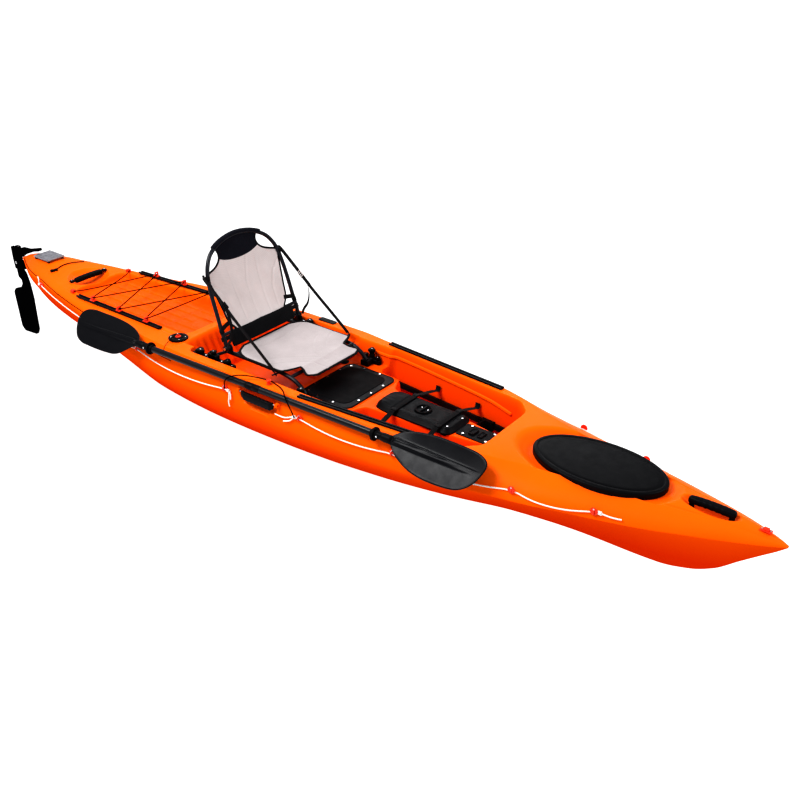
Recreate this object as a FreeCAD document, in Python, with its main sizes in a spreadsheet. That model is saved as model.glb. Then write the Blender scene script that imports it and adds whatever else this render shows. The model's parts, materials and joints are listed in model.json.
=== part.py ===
import FreeCAD, Part
import os
import math

# Sit-on-top fishing kayak. Sizes in millimetres, +X to the bow, +Y to port, +Z up.
# Stations are measured from the stern; every sub-part's Placement moves station
# "origin_station" to X = 0, so the frame's origin lies on the flat of the keel, midships.

V = FreeCAD.Vector
doc = FreeCAD.newDocument("kayak")

# ---------------------------------------------------------------- driving sizes
sheet = doc.addObject("Spreadsheet::Sheet", "Sizes")
SIZES = [
    ("origin_station", 2250.0), ("hull_length", 4500.0), ("wall", 5.0),
    ("seat_floor_z", 175.0), ("console_z", 262.0), ("foot_floor_z", 95.0),
    ("well_floor_z", 292.0), ("spine_z", 262.0),
    ("hatch_station", 3770.0), ("hatch_half_length", 278.0), ("hatch_half_width", 158.0),
    ("hatch_deck_z", 316.0), ("hatch_cover_height", 30.0), ("hatch_cover_gap", 1.0),
    ("track_width", 24.0), ("track_height", 8.0),
    ("rear_track_length", 680.0), ("gunwale_track_length", 660.0),
    ("rail_width", 26.0), ("rail_height", 12.0), ("rail_length", 690.0),
    ("shaft_radius", 15.0), ("shaft_length", 1440.0), ("drip_outer_radius", 29.0),
    ("drip_thickness", 9.0), ("blade_length", 455.0), ("blade_width", 190.0),
    ("tube_radius", 9.5), ("rope_radius", 3.0), ("bungee_radius", 2.5), ("line_radius", 1.6),
    ("screw_head_radius", 5.0), ("screw_head_height", 3.0), ("screw_shank_radius", 2.5),
    ("screw_shank_length", 4.0),
    ("stern_plate_length", 140.0), ("stern_plate_width", 112.0), ("stern_plate_thick", 5.0),
    ("console_plate_length", 280.0), ("console_plate_width", 356.0), ("console_plate_thick", 4.0),
    ("front_plate_length", 172.0), ("front_plate_width", 96.0), ("front_plate_thick", 4.0),
    ("pin_radius", 4.0), ("pin_clearance", 0.06), ("rudder_thick", 11.0), ("cheek_thick", 4.0),
    ("handle_radius", 13.0), ("handle_pin_radius", 4.0),
    ("rod_holder_radius", 28.0), ("rod_holder_depth", 120.0),
]
for i, (name, value) in enumerate(SIZES):
    cell = "B%d" % (i + 1)
    sheet.set("A%d" % (i + 1), name)
    sheet.set(cell, str(value))
    sheet.setAlias(cell, name)
doc.recompute()


def S(name):
    return float(sheet.get(name))


OX = -S("origin_station")
parts = []


def place(obj, base=(0, 0, 0), rot=None):
    """Moves a finished sub-part from station coordinates into the frame."""
    rot = rot or FreeCAD.Rotation()
    obj.Placement = FreeCAD.Placement(V(base[0] + OX, base[1], base[2]), rot)


def feature(label, shape):
    obj = doc.addObject("Part::Feature", label)
    obj.Label = label
    obj.Shape = shape
    obj.Placement = FreeCAD.Placement(V(OX, 0, 0), FreeCAD.Rotation()) * shape.Placement
    parts.append(obj)
    return obj


# ---------------------------------------------------------------- hull lines
def interp(table, x):
    """Monotone cubic through a table of (station, value)."""
    n = len(table)
    if x <= table[0][0]:
        return table[0][1]
    if x >= table[-1][0]:
        return table[-1][1]
    dx = [table[i + 1][0] - table[i][0] for i in range(n - 1)]
    dl = [(table[i + 1][1] - table[i][1]) / dx[i] for i in range(n - 1)]
    sl = [0.0] * n
    sl[0], sl[-1] = dl[0], dl[-1]
    for i in range(1, n - 1):
        if dl[i - 1] * dl[i] > 0:
            w1 = 2 * dx[i] + dx[i - 1]
            w2 = dx[i] + 2 * dx[i - 1]
            sl[i] = (w1 + w2) / (w1 / dl[i - 1] + w2 / dl[i])
    for i in range(n - 1):
        if x <= table[i + 1][0]:
            h = dx[i]
            t = (x - table[i][0]) / h
            a, b = table[i][1], table[i + 1][1]
            return ((2 * t ** 3 - 3 * t ** 2 + 1) * a + (t ** 3 - 2 * t ** 2 + t) * h * sl[i]
                    + (-2 * t ** 3 + 3 * t ** 2) * b + (t ** 3 - t ** 2) * h * sl[i + 1])


KEEL = [(26, 255), (36, 198), (60, 165), (130, 118), (200, 80), (300, 42), (400, 17), (520, 2), (700, -1.5),
        (3900, -1.5), (4050, 4), (4180, 34), (4270, 80), (4350, 150), (4420, 210), (4470, 252), (4500, 280)]
HALF = [(26, 9), (60, 24), (100, 45), (200, 98), (300, 138), (430, 166), (560, 200), (790, 248), (930, 273),
        (1070, 300), (1250, 335), (1450, 362), (1640, 380), (1930, 387), (2300, 390), (2660, 387), (2900, 375),
        (3200, 350), (3440, 315), (3610, 287), (3760, 250), (3900, 216), (4050, 178), (4200, 130), (4300, 95),
        (4420, 48), (4470, 24), (4500, 8)]
CHINE = [(26, 290), (100, 294), (300, 298), (430, 300), (560, 299), (790, 293), (930, 286), (1070, 276),
         (1250, 258), (1450, 236), (1640, 216), (1930, 205), (2300, 200), (2660, 201), (2900, 206), (3200, 220),
         (3440, 235), (3610, 243), (3760, 249), (3900, 254), (4050, 262), (4200, 272), (4300, 277), (4420, 283),
         (4500, 286)]
EDGE_Y = [(26, 6), (60, 16), (100, 30), (200, 68), (300, 98), (430, 124), (560, 156), (790, 212), (1000, 248),
          (1250, 292), (1500, 324), (1800, 346), (2000, 353), (2300, 353), (2500, 335), (2800, 315), (3030, 298),
          (3160, 282), (3260, 258), (3380, 219), (3480, 192), (3600, 165), (3760, 138), (3900, 118), (4050, 95),
          (4200, 65), (4300, 46), (4420, 23), (4470, 11), (4500, 4)]
EDGE_Z = [(26, 297), (60, 306), (100, 314), (200, 328), (300, 333), (430, 330), (560, 326), (790, 322), (1000, 325),
          (1250, 331), (1500, 336), (1800, 341), (2000, 343), (2300, 344), (3200, 344), (3400, 340), (3600, 334),
          (3900, 328), (4100, 322), (4300, 318), (4420, 306), (4470, 298), (4500, 290)]
CROWN_Z = [(26, 299), (60, 312), (100, 330), (200, 352), (300, 354), (400, 344), (500, 334), (650, 326), (790, 325),
           (1000, 330), (1250, 337), (1500, 342), (1800, 347), (2300, 349), (3200, 349), (3400, 347), (3600, 344),
           (3900, 338), (4100, 334), (4300, 328), (4420, 313), (4470, 301), (4500, 291)]
FULL = [(26, 1.1), (400, 1.3), (800, 1.55), (1300, 1.8), (1600, 2.2), (2000, 2.5), (2400, 2.3), (2750, 1.95),
        (3000, 1.72), (3300, 1.42), (3500, 1.22), (3800, 1.12), (4500, 1.08)]


def bottom_points(x, off=0.0, count=9):
    """Half section from the keel to the chine, a superellipse whose fullness varies along the hull."""
    zk, yc, zc = interp(KEEL, x) + off, interp(HALF, x) - off, interp(CHINE, x)
    zk = min(zk, zc - 2.0)
    yc = max(yc, 1.5)
    n = interp(FULL, x)
    pts = []
    for k in range(count):
        a = math.pi / 2 * k / (count - 1)
        y = yc * abs(math.sin(a)) ** (2.0 / n)
        z = zc - (zc - zk) * abs(math.cos(a)) ** (2.0 / n)
        pts.append((y, z))
    pts[0] = (0.0, zk)
    pts[-1] = (yc, zc)
    return pts


def top_points(x, off=0.0):
    """Half section from the chine up the side to the gunwale's edge."""
    yc, zc = max(interp(HALF, x) - off, 1.5), interp(CHINE, x)
    yg = max(min(interp(EDGE_Y, x) - off, yc - 0.8), 0.7)
    zg = interp(EDGE_Z, x) - off
    zg = max(zg, zc + 1.0)
    out = []
    cy = yg + (yc - yg) * 0.80
    cz = zc + (zg - zc) * 0.66
    for k in range(5):
        t = k / 4.0
        out.append(((1 - t) ** 2 * yc + 2 * t * (1 - t) * cy + t * t * yg,
                    (1 - t) ** 2 * zc + 2 * t * (1 - t) * cz + t * t * zg))
    return out


def crown_points(x, off=0.0):
    yg = max(min(interp(EDGE_Y, x) - off, interp(HALF, x) - off - 0.8), 0.7)
    zc = interp(CHINE, x)
    zg = max(interp(EDGE_Z, x) - off, zc + 1.0)
    zd = max(interp(CROWN_Z, x) - off, zg + 0.3)
    return [(yg, zg), (yg * 0.66, zg + (zd - zg) * 0.62), (yg * 0.33, zg + (zd - zg) * 0.93), (0.0, zd)]


def spline(x, pts, mirror=False):
    s = -1.0 if mirror else 1.0
    c = Part.BSplineCurve()
    c.interpolate([V(x, s * y, z) for y, z in pts])
    return c.toShape()


def section_wire(x, off=0.0):
    b, t, d = bottom_points(x, off), top_points(x, off), crown_points(x, off)
    t[0], t[-1] = b[-1], d[0]
    edges = [spline(x, b), spline(x, t), spline(x, d),
             spline(x, list(reversed(d)), True), spline(x, list(reversed(t)), True), spline(x, list(reversed(b)), True)]
    return Part.Wire(edges)


def half_at(x, z):
    """Half breadth of the side at a height, between the chine and the gunwale."""
    t = top_points(x)
    for (y0, z0), (y1, z1) in zip(t, t[1:]):
        if z0 <= z <= z1:
            return y0 + (y1 - y0) * (z - z0) / (z1 - z0)
    if z > t[-1][1]:
        return t[-1][0]
    b = bottom_points(x, 0.0, 41)
    for (y0, z0), (y1, z1) in zip(b, b[1:]):
        if z0 <= z <= z1:
            return y0 + (y1 - y0) * (z - z0) / max(z1 - z0, 1e-6)
    return t[0][0]


def deck_at(x, y):
    """Height of the outer deck's crown at a place."""
    d = crown_points(x)
    y = abs(y)
    for (y1, z1), (y0, z0) in zip(d, d[1:]):
        if y0 <= y <= y1:
            return z0 + (z1 - z0) * (y - y0) / (y1 - y0)
    t = top_points(x)
    for (y1, z1), (y0, z0) in zip(t, t[1:]):
        if y0 <= y <= y1:
            return z0 + (z1 - z0) * (y - y0) / (y1 - y0)
    return d[0][1]


OUT_ST = [26, 60, 130, 200, 300, 430, 560, 700, 900, 1070, 1250, 1450, 1640, 1930, 2300, 2660, 2900, 3080, 3200,
          3320, 3440, 3610, 3760, 3900, 4050, 4200, 4300, 4380, 4440, 4480, 4500]
IN_ST = [130, 200, 300, 430, 560, 700, 900, 1070, 1250, 1450, 1640, 1930, 2300, 2660, 2900, 3080, 3200, 3320, 3440,
         3610, 3760, 3900, 4050, 4200, 4300, 4360]


def loft(stations, off):
    return Part.makeLoft([section_wire(float(x), off) for x in stations], True, False)


def rounded_wire(x0, x1, w0, w1, z, r):
    """Closed plan outline, symmetric about the centreline: half widths w0 aft and w1 forward, rounded corners."""
    pts = [V(x0, -w0, z), V(x1, -w1, z), V(x1, w1, z), V(x0, w0, z)]
    return fillet_poly(pts, r)


def fillet_poly(pts, r):
    n = len(pts)
    edges, ends = [], []
    for i in range(n):
        p, a, b = pts[i], pts[i - 1], pts[(i + 1) % n]
        u, w = (a - p).normalize(), (b - p).normalize()
        ang = math.acos(max(-1, min(1, u.dot(w))))
        rr = r[i] if isinstance(r, (list, tuple)) else r
        d = rr / math.tan(ang / 2)
        t1, t2 = p + u * d, p + w * d
        mid_dir = (u + w).normalize()
        c = p + mid_dir * (rr / math.sin(ang / 2))
        m = c - mid_dir * rr
        ends.append((t1, m, t2))
    for i in range(n):
        t1, m, t2 = ends[i]
        edges.append(Part.Arc(t1, m, t2).toShape())
        nxt = ends[(i + 1) % n][0]
        if (nxt - t2).Length > 1e-6:
            edges.append(Part.LineSegment(t2, nxt).toShape())
    return Part.Wire(edges)


def pan(x0, x1, w0, w1, z, slope, r, top=420.0, g=0.0):
    """A recess open to the top: floor outline at z, walls leaning outwards by slope (mm per mm), grown by g."""
    zf = z - g
    lo = fillet_poly([V(x0 - g, -w0 - g, zf), V(x1 + g, -w1 - g, zf), V(x1 + g, w1 + g, zf), V(x0 - g, w0 + g, zf)], r)
    e = slope * (top - z)
    hi = fillet_poly([V(x0 - g - e, -w0 - g - e, top), V(x1 + g + e, -w1 - g - e, top),
                      V(x1 + g + e, w1 + g + e, top), V(x0 - g - e, w0 + g + e, top)], r)
    return Part.makeLoft([lo, hi], True, True)


def side_pan(x0, x1, ya0, ya1, yb0, yb1, z, slope, r, top=420.0, g=0.0, side=1):
    """One-sided recess: inner edge ya, outer edge yb, at the aft (0) and forward (1) ends."""
    def ring(zz, e):
        p = [V(x0 - e, side * (ya0 - e), zz), V(x1 + e, side * (ya1 - e), zz),
             V(x1 + e, side * (yb1 + e), zz), V(x0 - e, side * (yb0 + e), zz)]
        if side < 0:
            p.reverse()
        return fillet_poly(p, r)
    return Part.makeLoft([ring(z - g, g), ring(top, g + slope * (top - z))], True, True)


def ellipse_prism(cx, a, b, z0, z1, taper=0.0):
    def ring(z, k):
        e = Part.Ellipse(V(cx, 0, z), a + k, b + k)
        return Part.Wire([e.toShape()])
    if abs(taper) < 1e-9:
        f = Part.Face(ring(z0, 0))
        return f.extrude(V(0, 0, z1 - z0))
    return Part.makeLoft([ring(z0, 0), ring(z1, taper)], True, True)


SEAT_Z, CONS_Z, FOOT_Z, WELL_Z = S("seat_floor_z"), S("console_z"), S("foot_floor_z"), S("well_floor_z")
HX, HA, HB = S("hatch_station"), S("hatch_half_length"), S("hatch_half_width")
HD = S("hatch_deck_z")
SCOOPS = []  # shallow finger scoops: (x, y, z of centre, semi-axes)
SCOOPS.append((640, 0, 352, 118, 122, 62))
SCOOPS.append((4218, 0, 352, 128, 36, 46))
for sgn in (1, -1):
    SCOOPS.append((2320, sgn * 392, 282, 118, 60, 44))


def ellipsoid(cx, cy, cz, a, b, c):
    s = Part.makeSphere(1.0)
    m = FreeCAD.Matrix()
    m.A11, m.A22, m.A33 = a, b, c
    m.A14, m.A24, m.A34 = cx, cy, cz
    return s.transformGeometry(m)


def pan_poly(outline, z, slope, r, top=420.0, g=0.0):
    """Symmetric recess open to the top. outline lists (station, half width) of the floor from aft to forward."""
    def ring(zz, e):
        n = len(outline)
        p = []
        for i, (x, w) in enumerate(outline):
            ex = -e if i == 0 else (e if i == n - 1 else 0.0)
            p.append((x + ex, w + e))
        pts = [V(x, -w, zz) for x, w in p] + [V(x, w, zz) for x, w in reversed(p)]
        return fillet_poly(pts, r)
    return Part.makeLoft([ring(z - g, g), ring(top, g + slope * (top - z))], True, True)


# Footwell outline on one side: inner edge first (aft to forward), then the outer wall back to the aft end.
FOOT_IN = [(2560, 214), (2672, 208), (2716, 122), (3110, 98), (3316, 66)]
FOOT_OUT = [(3316, 150), (3270, 196), (2560, 264)]


def foot_pan(side, g=0.0, top=420.0):
    def ring(zz, e):
        p = []
        for i, (x, y) in enumerate(FOOT_IN):
            p.append((x - (e if i == 0 else 0) + (e if i == 4 else 0) - (e * 0.8 if i in (2,) else 0), y - e * (1.0 if i != 0 else 1.0)))
        for i, (x, y) in enumerate(FOOT_OUT):
            p.append((x + (e if i == 0 else 0) - (e if i == 2 else 0), y + e))
        pts = [V(x, side * y, zz) for x, y in p]
        if side < 0:
            pts.reverse()
        rr = [16, 12, 14, 60, 20, 24, 24, 16]
        if side < 0:
            rr = rr[::-1]
        return fillet_poly(pts, rr)
    return Part.makeLoft([ring(FOOT_Z - g, g), ring(top, g + 0.12 * (top - FOOT_Z))], True, True)


CONSOLE_OUT = [(2332, 262), (2700, 258), (3165, 214), (3322, 128)]
SPINE_Z = S("spine_z")


def cavities(g):
    out = [
        pan_poly([(1812, 256), (2338, 262)], SEAT_Z, 0.10, 34, g=g),       # seat pan
        pan_poly([(1796, 297), (2350, 289)], 316.0, 0.25, 26, g=g),        # ledges either side of the seat
        pan_poly(CONSOLE_OUT, CONS_Z, 0.30, 22, g=g),                      # console deck and spine
        pan_poly([(742, 160), (1640, 182)], WELL_Z, 0.35, 40, g=g),        # tank well
        pan_poly([(2728, 77), (3122, 77)], 199.0, 0.0, 22, g=g),           # pod bay in the spine
        foot_pan(1, g), foot_pan(-1, g),
    ]
    for cx, cy, cz, a, b, c in SCOOPS:
        out.append(ellipsoid(cx, cy, cz, a + g, b + g, c + g))
    return out


outer = loft(OUT_ST, 0.0)
outer = outer.cut(Part.makeBox(5000, 1200, 60, V(-100, -600, -60)))
inner = loft(IN_ST, S("wall"))
inner = inner.cut(Part.makeBox(5000, 1200, 60 + S("wall"), V(-100, -600, -60)))
print("outer volume l", outer.Volume / 1e6, outer.isValid(), "inner", inner.Volume / 1e6, inner.isValid())

body = outer
for c in cavities(0.0):
    body = body.cut(c)
hollow = inner
for c in cavities(S("wall")):
    hollow = hollow.cut(c)
# hatch: a step in the deck, a raised coaming and the opening into the hold
step = ellipse_prism(HX, HA + 26, HB + 22, HD, 420.0, 18.0)
body = body.cut(step)
hollow = hollow.cut(ellipse_prism(HX, HA + 31, HB + 27, HD - 5, 420.0, 18.0))
coaming = ellipse_prism(HX, HA - 16, HB - 16, HD - 3, HD + 14)
coaming = coaming.cut(ellipse_prism(HX, HA - 22, HB - 22, HD - 40, HD + 40))
body = body.cut(ellipse_prism(HX, HA - 22, HB - 22, HD - 30, 430.0)).fuse(coaming)
# flush rod holders: bored through the deck behind the seat
ROD = []
for sgn in (1, -1):
    base = V(1668, sgn * 245, 331)
    axis = V(-0.42, sgn * 0.16, 0.89).normalize()
    ROD.append((base, axis))
    body = body.cut(Part.makeCylinder(S("rod_holder_radius") + 1.0, 60, base - axis * 30, axis))
hull = body.cut(hollow)
print("hull volume l", hull.Volume / 1e6, "valid", hull.isValid(), "solids", len(hull.Solids))
if len(hull.Solids) > 1:
    hull = max(hull.Solids, key=lambda s: s.Volume)
feature("hull_shell", hull)


# ---------------------------------------------------------------- helpers for the fittings
import Sketcher


def box(x0, x1, y0, y1, z0, z1):
    return Part.makeBox(x1 - x0, y1 - y0, z1 - z0, V(x0, y0, z0))


def cyl(p, q, r):
    p, q = V(*p), V(*q)
    return Part.makeCylinder(r, (q - p).Length, p, q - p)


def fuse(shapes):
    s = shapes[0]
    for t in shapes[1:]:
        s = s.fuse(t)
    return s.removeSplitter()


def prism_xz(pts, y0, y1):
    """Side profile in X and Z, extruded from y0 to y1."""
    v = [V(x, y0, z) for x, z in pts]
    return Part.Face(Part.makePolygon(v + [v[0]])).extrude(V(0, y1 - y0, 0))


def prism_yz(pts, x0, x1):
    v = [V(x0, y, z) for y, z in pts]
    return Part.Face(Part.makePolygon(v + [v[0]])).extrude(V(x1 - x0, 0, 0))


def tangent_path(points, tag=""):
    """Straight runs joined by tangent arcs. Returns the wire and prints the arcs' radii."""
    pts = [V(*p) for p in points]
    edges, radii = [], []
    cur = pts[0]
    for i in range(1, len(pts) - 1):
        a, p, b = pts[i - 1], pts[i], pts[i + 1]
        u, w = (a - p), (b - p)
        la, lb = u.Length, w.Length
        u.normalize()
        w.normalize()
        turn = math.pi - math.acos(max(-1, min(1, u.dot(w))))
        if turn < 1e-4:
            raise ValueError("three points in line in " + tag)
        r = 0.45 * min(la, lb) / math.tan(turn / 2)
        d = r * math.tan(turn / 2)
        t1, t2 = p + u * d, p + w * d
        mid = (u + w).normalize()
        c = p + mid * (r / math.cos(turn / 2))
        m = c - mid * r
        if (t1 - cur).Length > 1e-6:
            edges.append(Part.LineSegment(cur, t1).toShape())
        edges.append(Part.Arc(t1, m, t2).toShape())
        cur = t2
        radii.append(r)
    edges.append(Part.LineSegment(cur, pts[-1]).toShape())
    wire = Part.Wire(edges)
    if tag:
        print(tag, "length mm", round(wire.Length, 1), "radii mm", [int(r) for r in sorted(radii)[:6]], "of", len(radii))
    return wire


def tube(points, r, tag=""):
    wire = tangent_path(points, tag)
    e = wire.Edges[0]
    p, d = e.valueAt(e.FirstParameter), e.tangentAt(e.FirstParameter)
    prof = Part.Wire([Part.Circle(p, d, r).toShape()])
    s = wire.makePipeShell([prof], True, False)
    if not isinstance(s, Part.Solid):
        s = s.Solids[0] if s.Solids else Part.makeSolid(s)
    want = math.pi * r * r * wire.Length
    if abs(s.Volume - want) > 0.03 * want or not s.isValid():
        raise ValueError("tube %s volume %.0f wanted %.0f valid %s" % (tag, s.Volume, want, s.isValid()))
    return s


def group(label, solids):
    return feature(label, Part.Compound(solids))


# PartDesign helpers ------------------------------------------------------------
def new_body(label):
    b = doc.addObject("PartDesign::Body", label)
    b.Label = label
    return b


def sketch(body, name, role="XY_Plane"):
    s = body.newObject("Sketcher::SketchObject", name)
    pl = [f for f in body.Origin.OriginFeatures if f.Role == role][0]
    s.AttachmentSupport = [(pl, "")]
    s.MapMode = "FlatFace"
    return s


def rect_sketch(s, wa, la):
    """Rectangle centred on the sketch origin, la along X and wa along Y, both bound to the sheet."""
    hx, hy = S(la) / 2, S(wa) / 2
    p = [V(-hx, -hy, 0), V(hx, -hy, 0), V(hx, hy, 0), V(-hx, hy, 0)]
    for i in range(4):
        s.addGeometry(Part.LineSegment(p[i], p[(i + 1) % 4]), False)
    C = Sketcher.Constraint
    for i in range(4):
        s.addConstraint(C("Coincident", i, 2, (i + 1) % 4, 1))
    s.addConstraint([C("Horizontal", 0), C("Horizontal", 2), C("Vertical", 1), C("Vertical", 3)])
    s.addConstraint(C("Symmetric", 0, 1, 1, 2, -1, 1))
    i = s.addConstraint(C("DistanceX", 0, 1, 0, 2, 2 * hx))
    s.renameConstraint(i, "length")
    s.setExpression("Constraints.length", "Sizes." + la)
    i = s.addConstraint(C("DistanceY", 1, 1, 1, 2, 2 * hy))
    s.renameConstraint(i, "width")
    s.setExpression("Constraints.width", "Sizes." + wa)


def circle_sketch(s, ra, centres=((0, 0),), offset=0.0):
    C = Sketcher.Constraint
    for k, (x, y) in enumerate(centres):
        g = s.addGeometry(Part.Circle(V(x, y, 0), V(0, 0, 1), S(ra) + offset), False)
        if abs(x) < 1e-9 and abs(y) < 1e-9:
            s.addConstraint(C("Coincident", g, 3, -1, 1))
        else:
            s.addConstraint(C("DistanceX", -1, 1, g, 3, x))
            s.addConstraint(C("DistanceY", -1, 1, g, 3, y))
        i = s.addConstraint(C("Radius", g, S(ra) + offset))
        s.renameConstraint(i, "radius%d" % k)
        s.setExpression("Constraints.radius%d" % k, "Sizes.%s + %g" % (ra, offset))


def pad(body, s, la, name, reverse=False):
    f = body.newObject("PartDesign::Pad", name)
    f.Profile = s
    f.setExpression("Length", "Sizes." + la if la in dict(SIZES) else None) if la in dict(SIZES) else None
    if la not in dict(SIZES):
        f.Length = float(la)
    f.Reversed = reverse
    return f


def pocket_through(body, s, name, before):
    f = body.newObject("PartDesign::Pocket", name)
    f.Profile = s
    f.Type = 1
    f.Reversed = True
    doc.recompute()
    if f.Shape.Volume >= before - 1e-3:
        f.Reversed = False
        doc.recompute()
    assert f.Shape.Volume < before - 1e-3, name
    return f


def vertical_edges(shape):
    out = []
    for i, e in enumerate(shape.Edges):
        a, b = e.Vertexes[0].Point, e.Vertexes[-1].Point
        if abs(a.x - b.x) < 1e-6 and abs(a.y - b.y) < 1e-6 and abs(a.z - b.z) > 0.5:
            out.append("Edge%d" % (i + 1))
    return out


def plate_body(label, wa, la, ta, corner, holes, base, hole_r=2.7):
    """Flat plate with rounded corners and drilled holes."""
    b = new_body(label)
    s = sketch(b, label + "_outline")
    rect_sketch(s, wa, la)
    p = pad(b, s, ta, label + "_pad")
    doc.recompute()
    f = b.newObject("PartDesign::Fillet", label + "_corners")
    f.Base = (p, vertical_edges(p.Shape))
    f.Radius = corner
    doc.recompute()
    if holes:
        s2 = sketch(b, label + "_holes")
        for x, y in holes:
            s2.addGeometry(Part.Circle(V(x, y, 0), V(0, 0, 1), hole_r), False)
        doc.recompute()
        pocket_through(b, s2, label + "_drill", f.Shape.Volume)
    doc.recompute()
    place(b, base)
    parts.append(b)
    return b


def track_body(label, length_alias, base, yaw, pitch):
    """T-slot track: a bar with an undercut groove along its top."""
    b = new_body(label)
    s = sketch(b, label + "_bar")
    rect_sketch(s, "track_width", length_alias)
    p = pad(b, s, "track_height", label + "_pad")
    doc.recompute()
    for nm, w, z0, z1 in (("slot", 8.0, 2.0, 8.0), ("undercut", 15.0, 2.0, 5.0)):
        s2 = sketch(b, label + "_" + nm, "YZ_Plane")
        pts = [V(-w / 2, z0, 0), V(w / 2, z0, 0), V(w / 2, z1, 0), V(-w / 2, z1, 0)]
        for i in range(4):
            s2.addGeometry(Part.LineSegment(pts[i], pts[(i + 1) % 4]), False)
        for i in range(4):
            s2.addConstraint(Sketcher.Constraint("Coincident", i, 2, (i + 1) % 4, 1))
        before = b.Tip.Shape.Volume
        f = b.newObject("PartDesign::Pocket", label + "_" + nm + "_cut")
        f.Profile = s2
        f.Type = 1
        f.Midplane = True
        doc.recompute()
        assert f.Shape.Volume < before, label + nm
    rot = FreeCAD.Rotation(V(0, 0, 1), yaw) * FreeCAD.Rotation(V(0, 1, 0), -pitch)
    place(b, base, rot)
    parts.append(b)
    return b


def revolve_body(label, pts, base, rot=None):
    """Turned piece: (radius, height) profile revolved about its own Z axis."""
    b = new_body(label)
    s = sketch(b, label + "_profile", "XZ_Plane")
    n = len(pts)
    for i in range(n):
        (r0, z0), (r1, z1) = pts[i], pts[(i + 1) % n]
        s.addGeometry(Part.LineSegment(V(r0, z0, 0), V(r1, z1, 0)), False)
    for i in range(n):
        s.addConstraint(Sketcher.Constraint("Coincident", i, 2, (i + 1) % n, 1))
    f = b.newObject("PartDesign::Revolution", label + "_turn")
    f.Profile = s
    f.ReferenceAxis = (s, ["V_Axis"])
    f.Angle = 360.0
    doc.recompute()
    place(b, base, rot)
    parts.append(b)
    return b


def rbox(x0, x1, y0, y1, z0, z1, r):
    w = fillet_poly([V(x0, y0, z0), V(x1, y0, z0), V(x1, y1, z0), V(x0, y1, z0)], r)
    return Part.Face(w).extrude(V(0, 0, z1 - z0))


# ---------------------------------------------------------------- bow hatch
ga = ellipse_prism(HX, HA - 13.5, HB - 13.5, HD + 14.3, HD + 18.6)
ga = ga.cut(ellipse_prism(HX, HA - 24, HB - 24, HD, HD + 40))
feature("hatch_gasket", ga)
CT = HD + S("hatch_cover_height")
cover = ellipse_prism(HX, HA, HB, HD + S("hatch_cover_gap"), CT - 7)
cover = cover.fuse(ellipse_prism(HX, HA, HB, CT - 7, CT, -9.0)).removeSplitter()
cover = cover.cut(ellipse_prism(HX, HA - 12, HB - 12, HD, HD + 19))
feature("bow_hatch_cover", cover)

# ---------------------------------------------------------------- carry handles
HR = S("handle_radius")
zb = 334.0
bow = fuse([cyl((4124, 0, zb), (4312, 0, zb), 9.0), cyl((4118, 0, deck_at(4108, 0) + 0.8), (4118, 0, zb + 8), 12.0),
            cyl((4318, 0, deck_at(4306, 0) + 0.8), (4318, 0, zb + 8), 12.0)])
feature("bow_handle", bow)
sh = [cyl((640, -98, 328.5), (640, 98, 328.5), 10.0)]
for sgn in (1, -1):
    y0, y1 = sorted((sgn * 92, sgn * 118))
    sh.append(box(626, 654, y0, y1, max(deck_at(x, y) for x in (620, 640, 660) for y in (112, 118, 125)) + 1.6, 338.5))
feature("stern_handle", fuse(sh))
AX_Y, AX_Z = 386.0, 303.0
anchors = []
for sgn, nm in ((1, "port"), (-1, "stbd")):
    for x in (2204, 2436):
        y_in = max(half_at(x + d, z) for d in (-9, 9) for z in (AX_Z - 7, AX_Z + 7)) + 2.2
        a = box(x - 8, x + 8, y_in, AX_Y + 6, AX_Z - 7, AX_Z + 7) if sgn > 0 else box(x - 8, x + 8, -AX_Y - 6, -y_in, AX_Z - 7, AX_Z + 7)
        a = a.cut(cyl((x - 12, sgn * AX_Y, AX_Z), (x + 12, sgn * AX_Y, AX_Z), 2.56))
        anchors.append(a)
    h = fuse([box(2226, 2414, sgn * AX_Y - 8.5, sgn * AX_Y + 8.5, AX_Z - 34, AX_Z - 4),
              box(2219, 2228, sgn * AX_Y - 5, sgn * AX_Y + 5, AX_Z - 26, AX_Z + 5),
              box(2412, 2421, sgn * AX_Y - 5, sgn * AX_Y + 5, AX_Z - 26, AX_Z + 5),
              cyl((2197, sgn * AX_Y, AX_Z), (2222, sgn * AX_Y, AX_Z), 2.5),
              cyl((2418, sgn * AX_Y, AX_Z), (2443, sgn * AX_Y, AX_Z), 2.5)])
    feature("side_handle_" + nm, h)
group("side_handle_anchors", anchors)

# ---------------------------------------------------------------- pad eyes along the sides, their screws and the deck lines
PAD_Z = 281.0
PADS = [450, 1490, 2115, 2560, 3040, 3554, 3865]
RR = S("rope_radius")


def side_xy(x, z, off):
    """Point off the side by off, measured square to the plan line."""
    y = half_at(x, z)
    dy = (half_at(x + 8, z) - half_at(x - 8, z)) / 16.0
    k = math.sqrt(1 + dy * dy)
    return x - off * dy / k, y + off / k, dy


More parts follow.
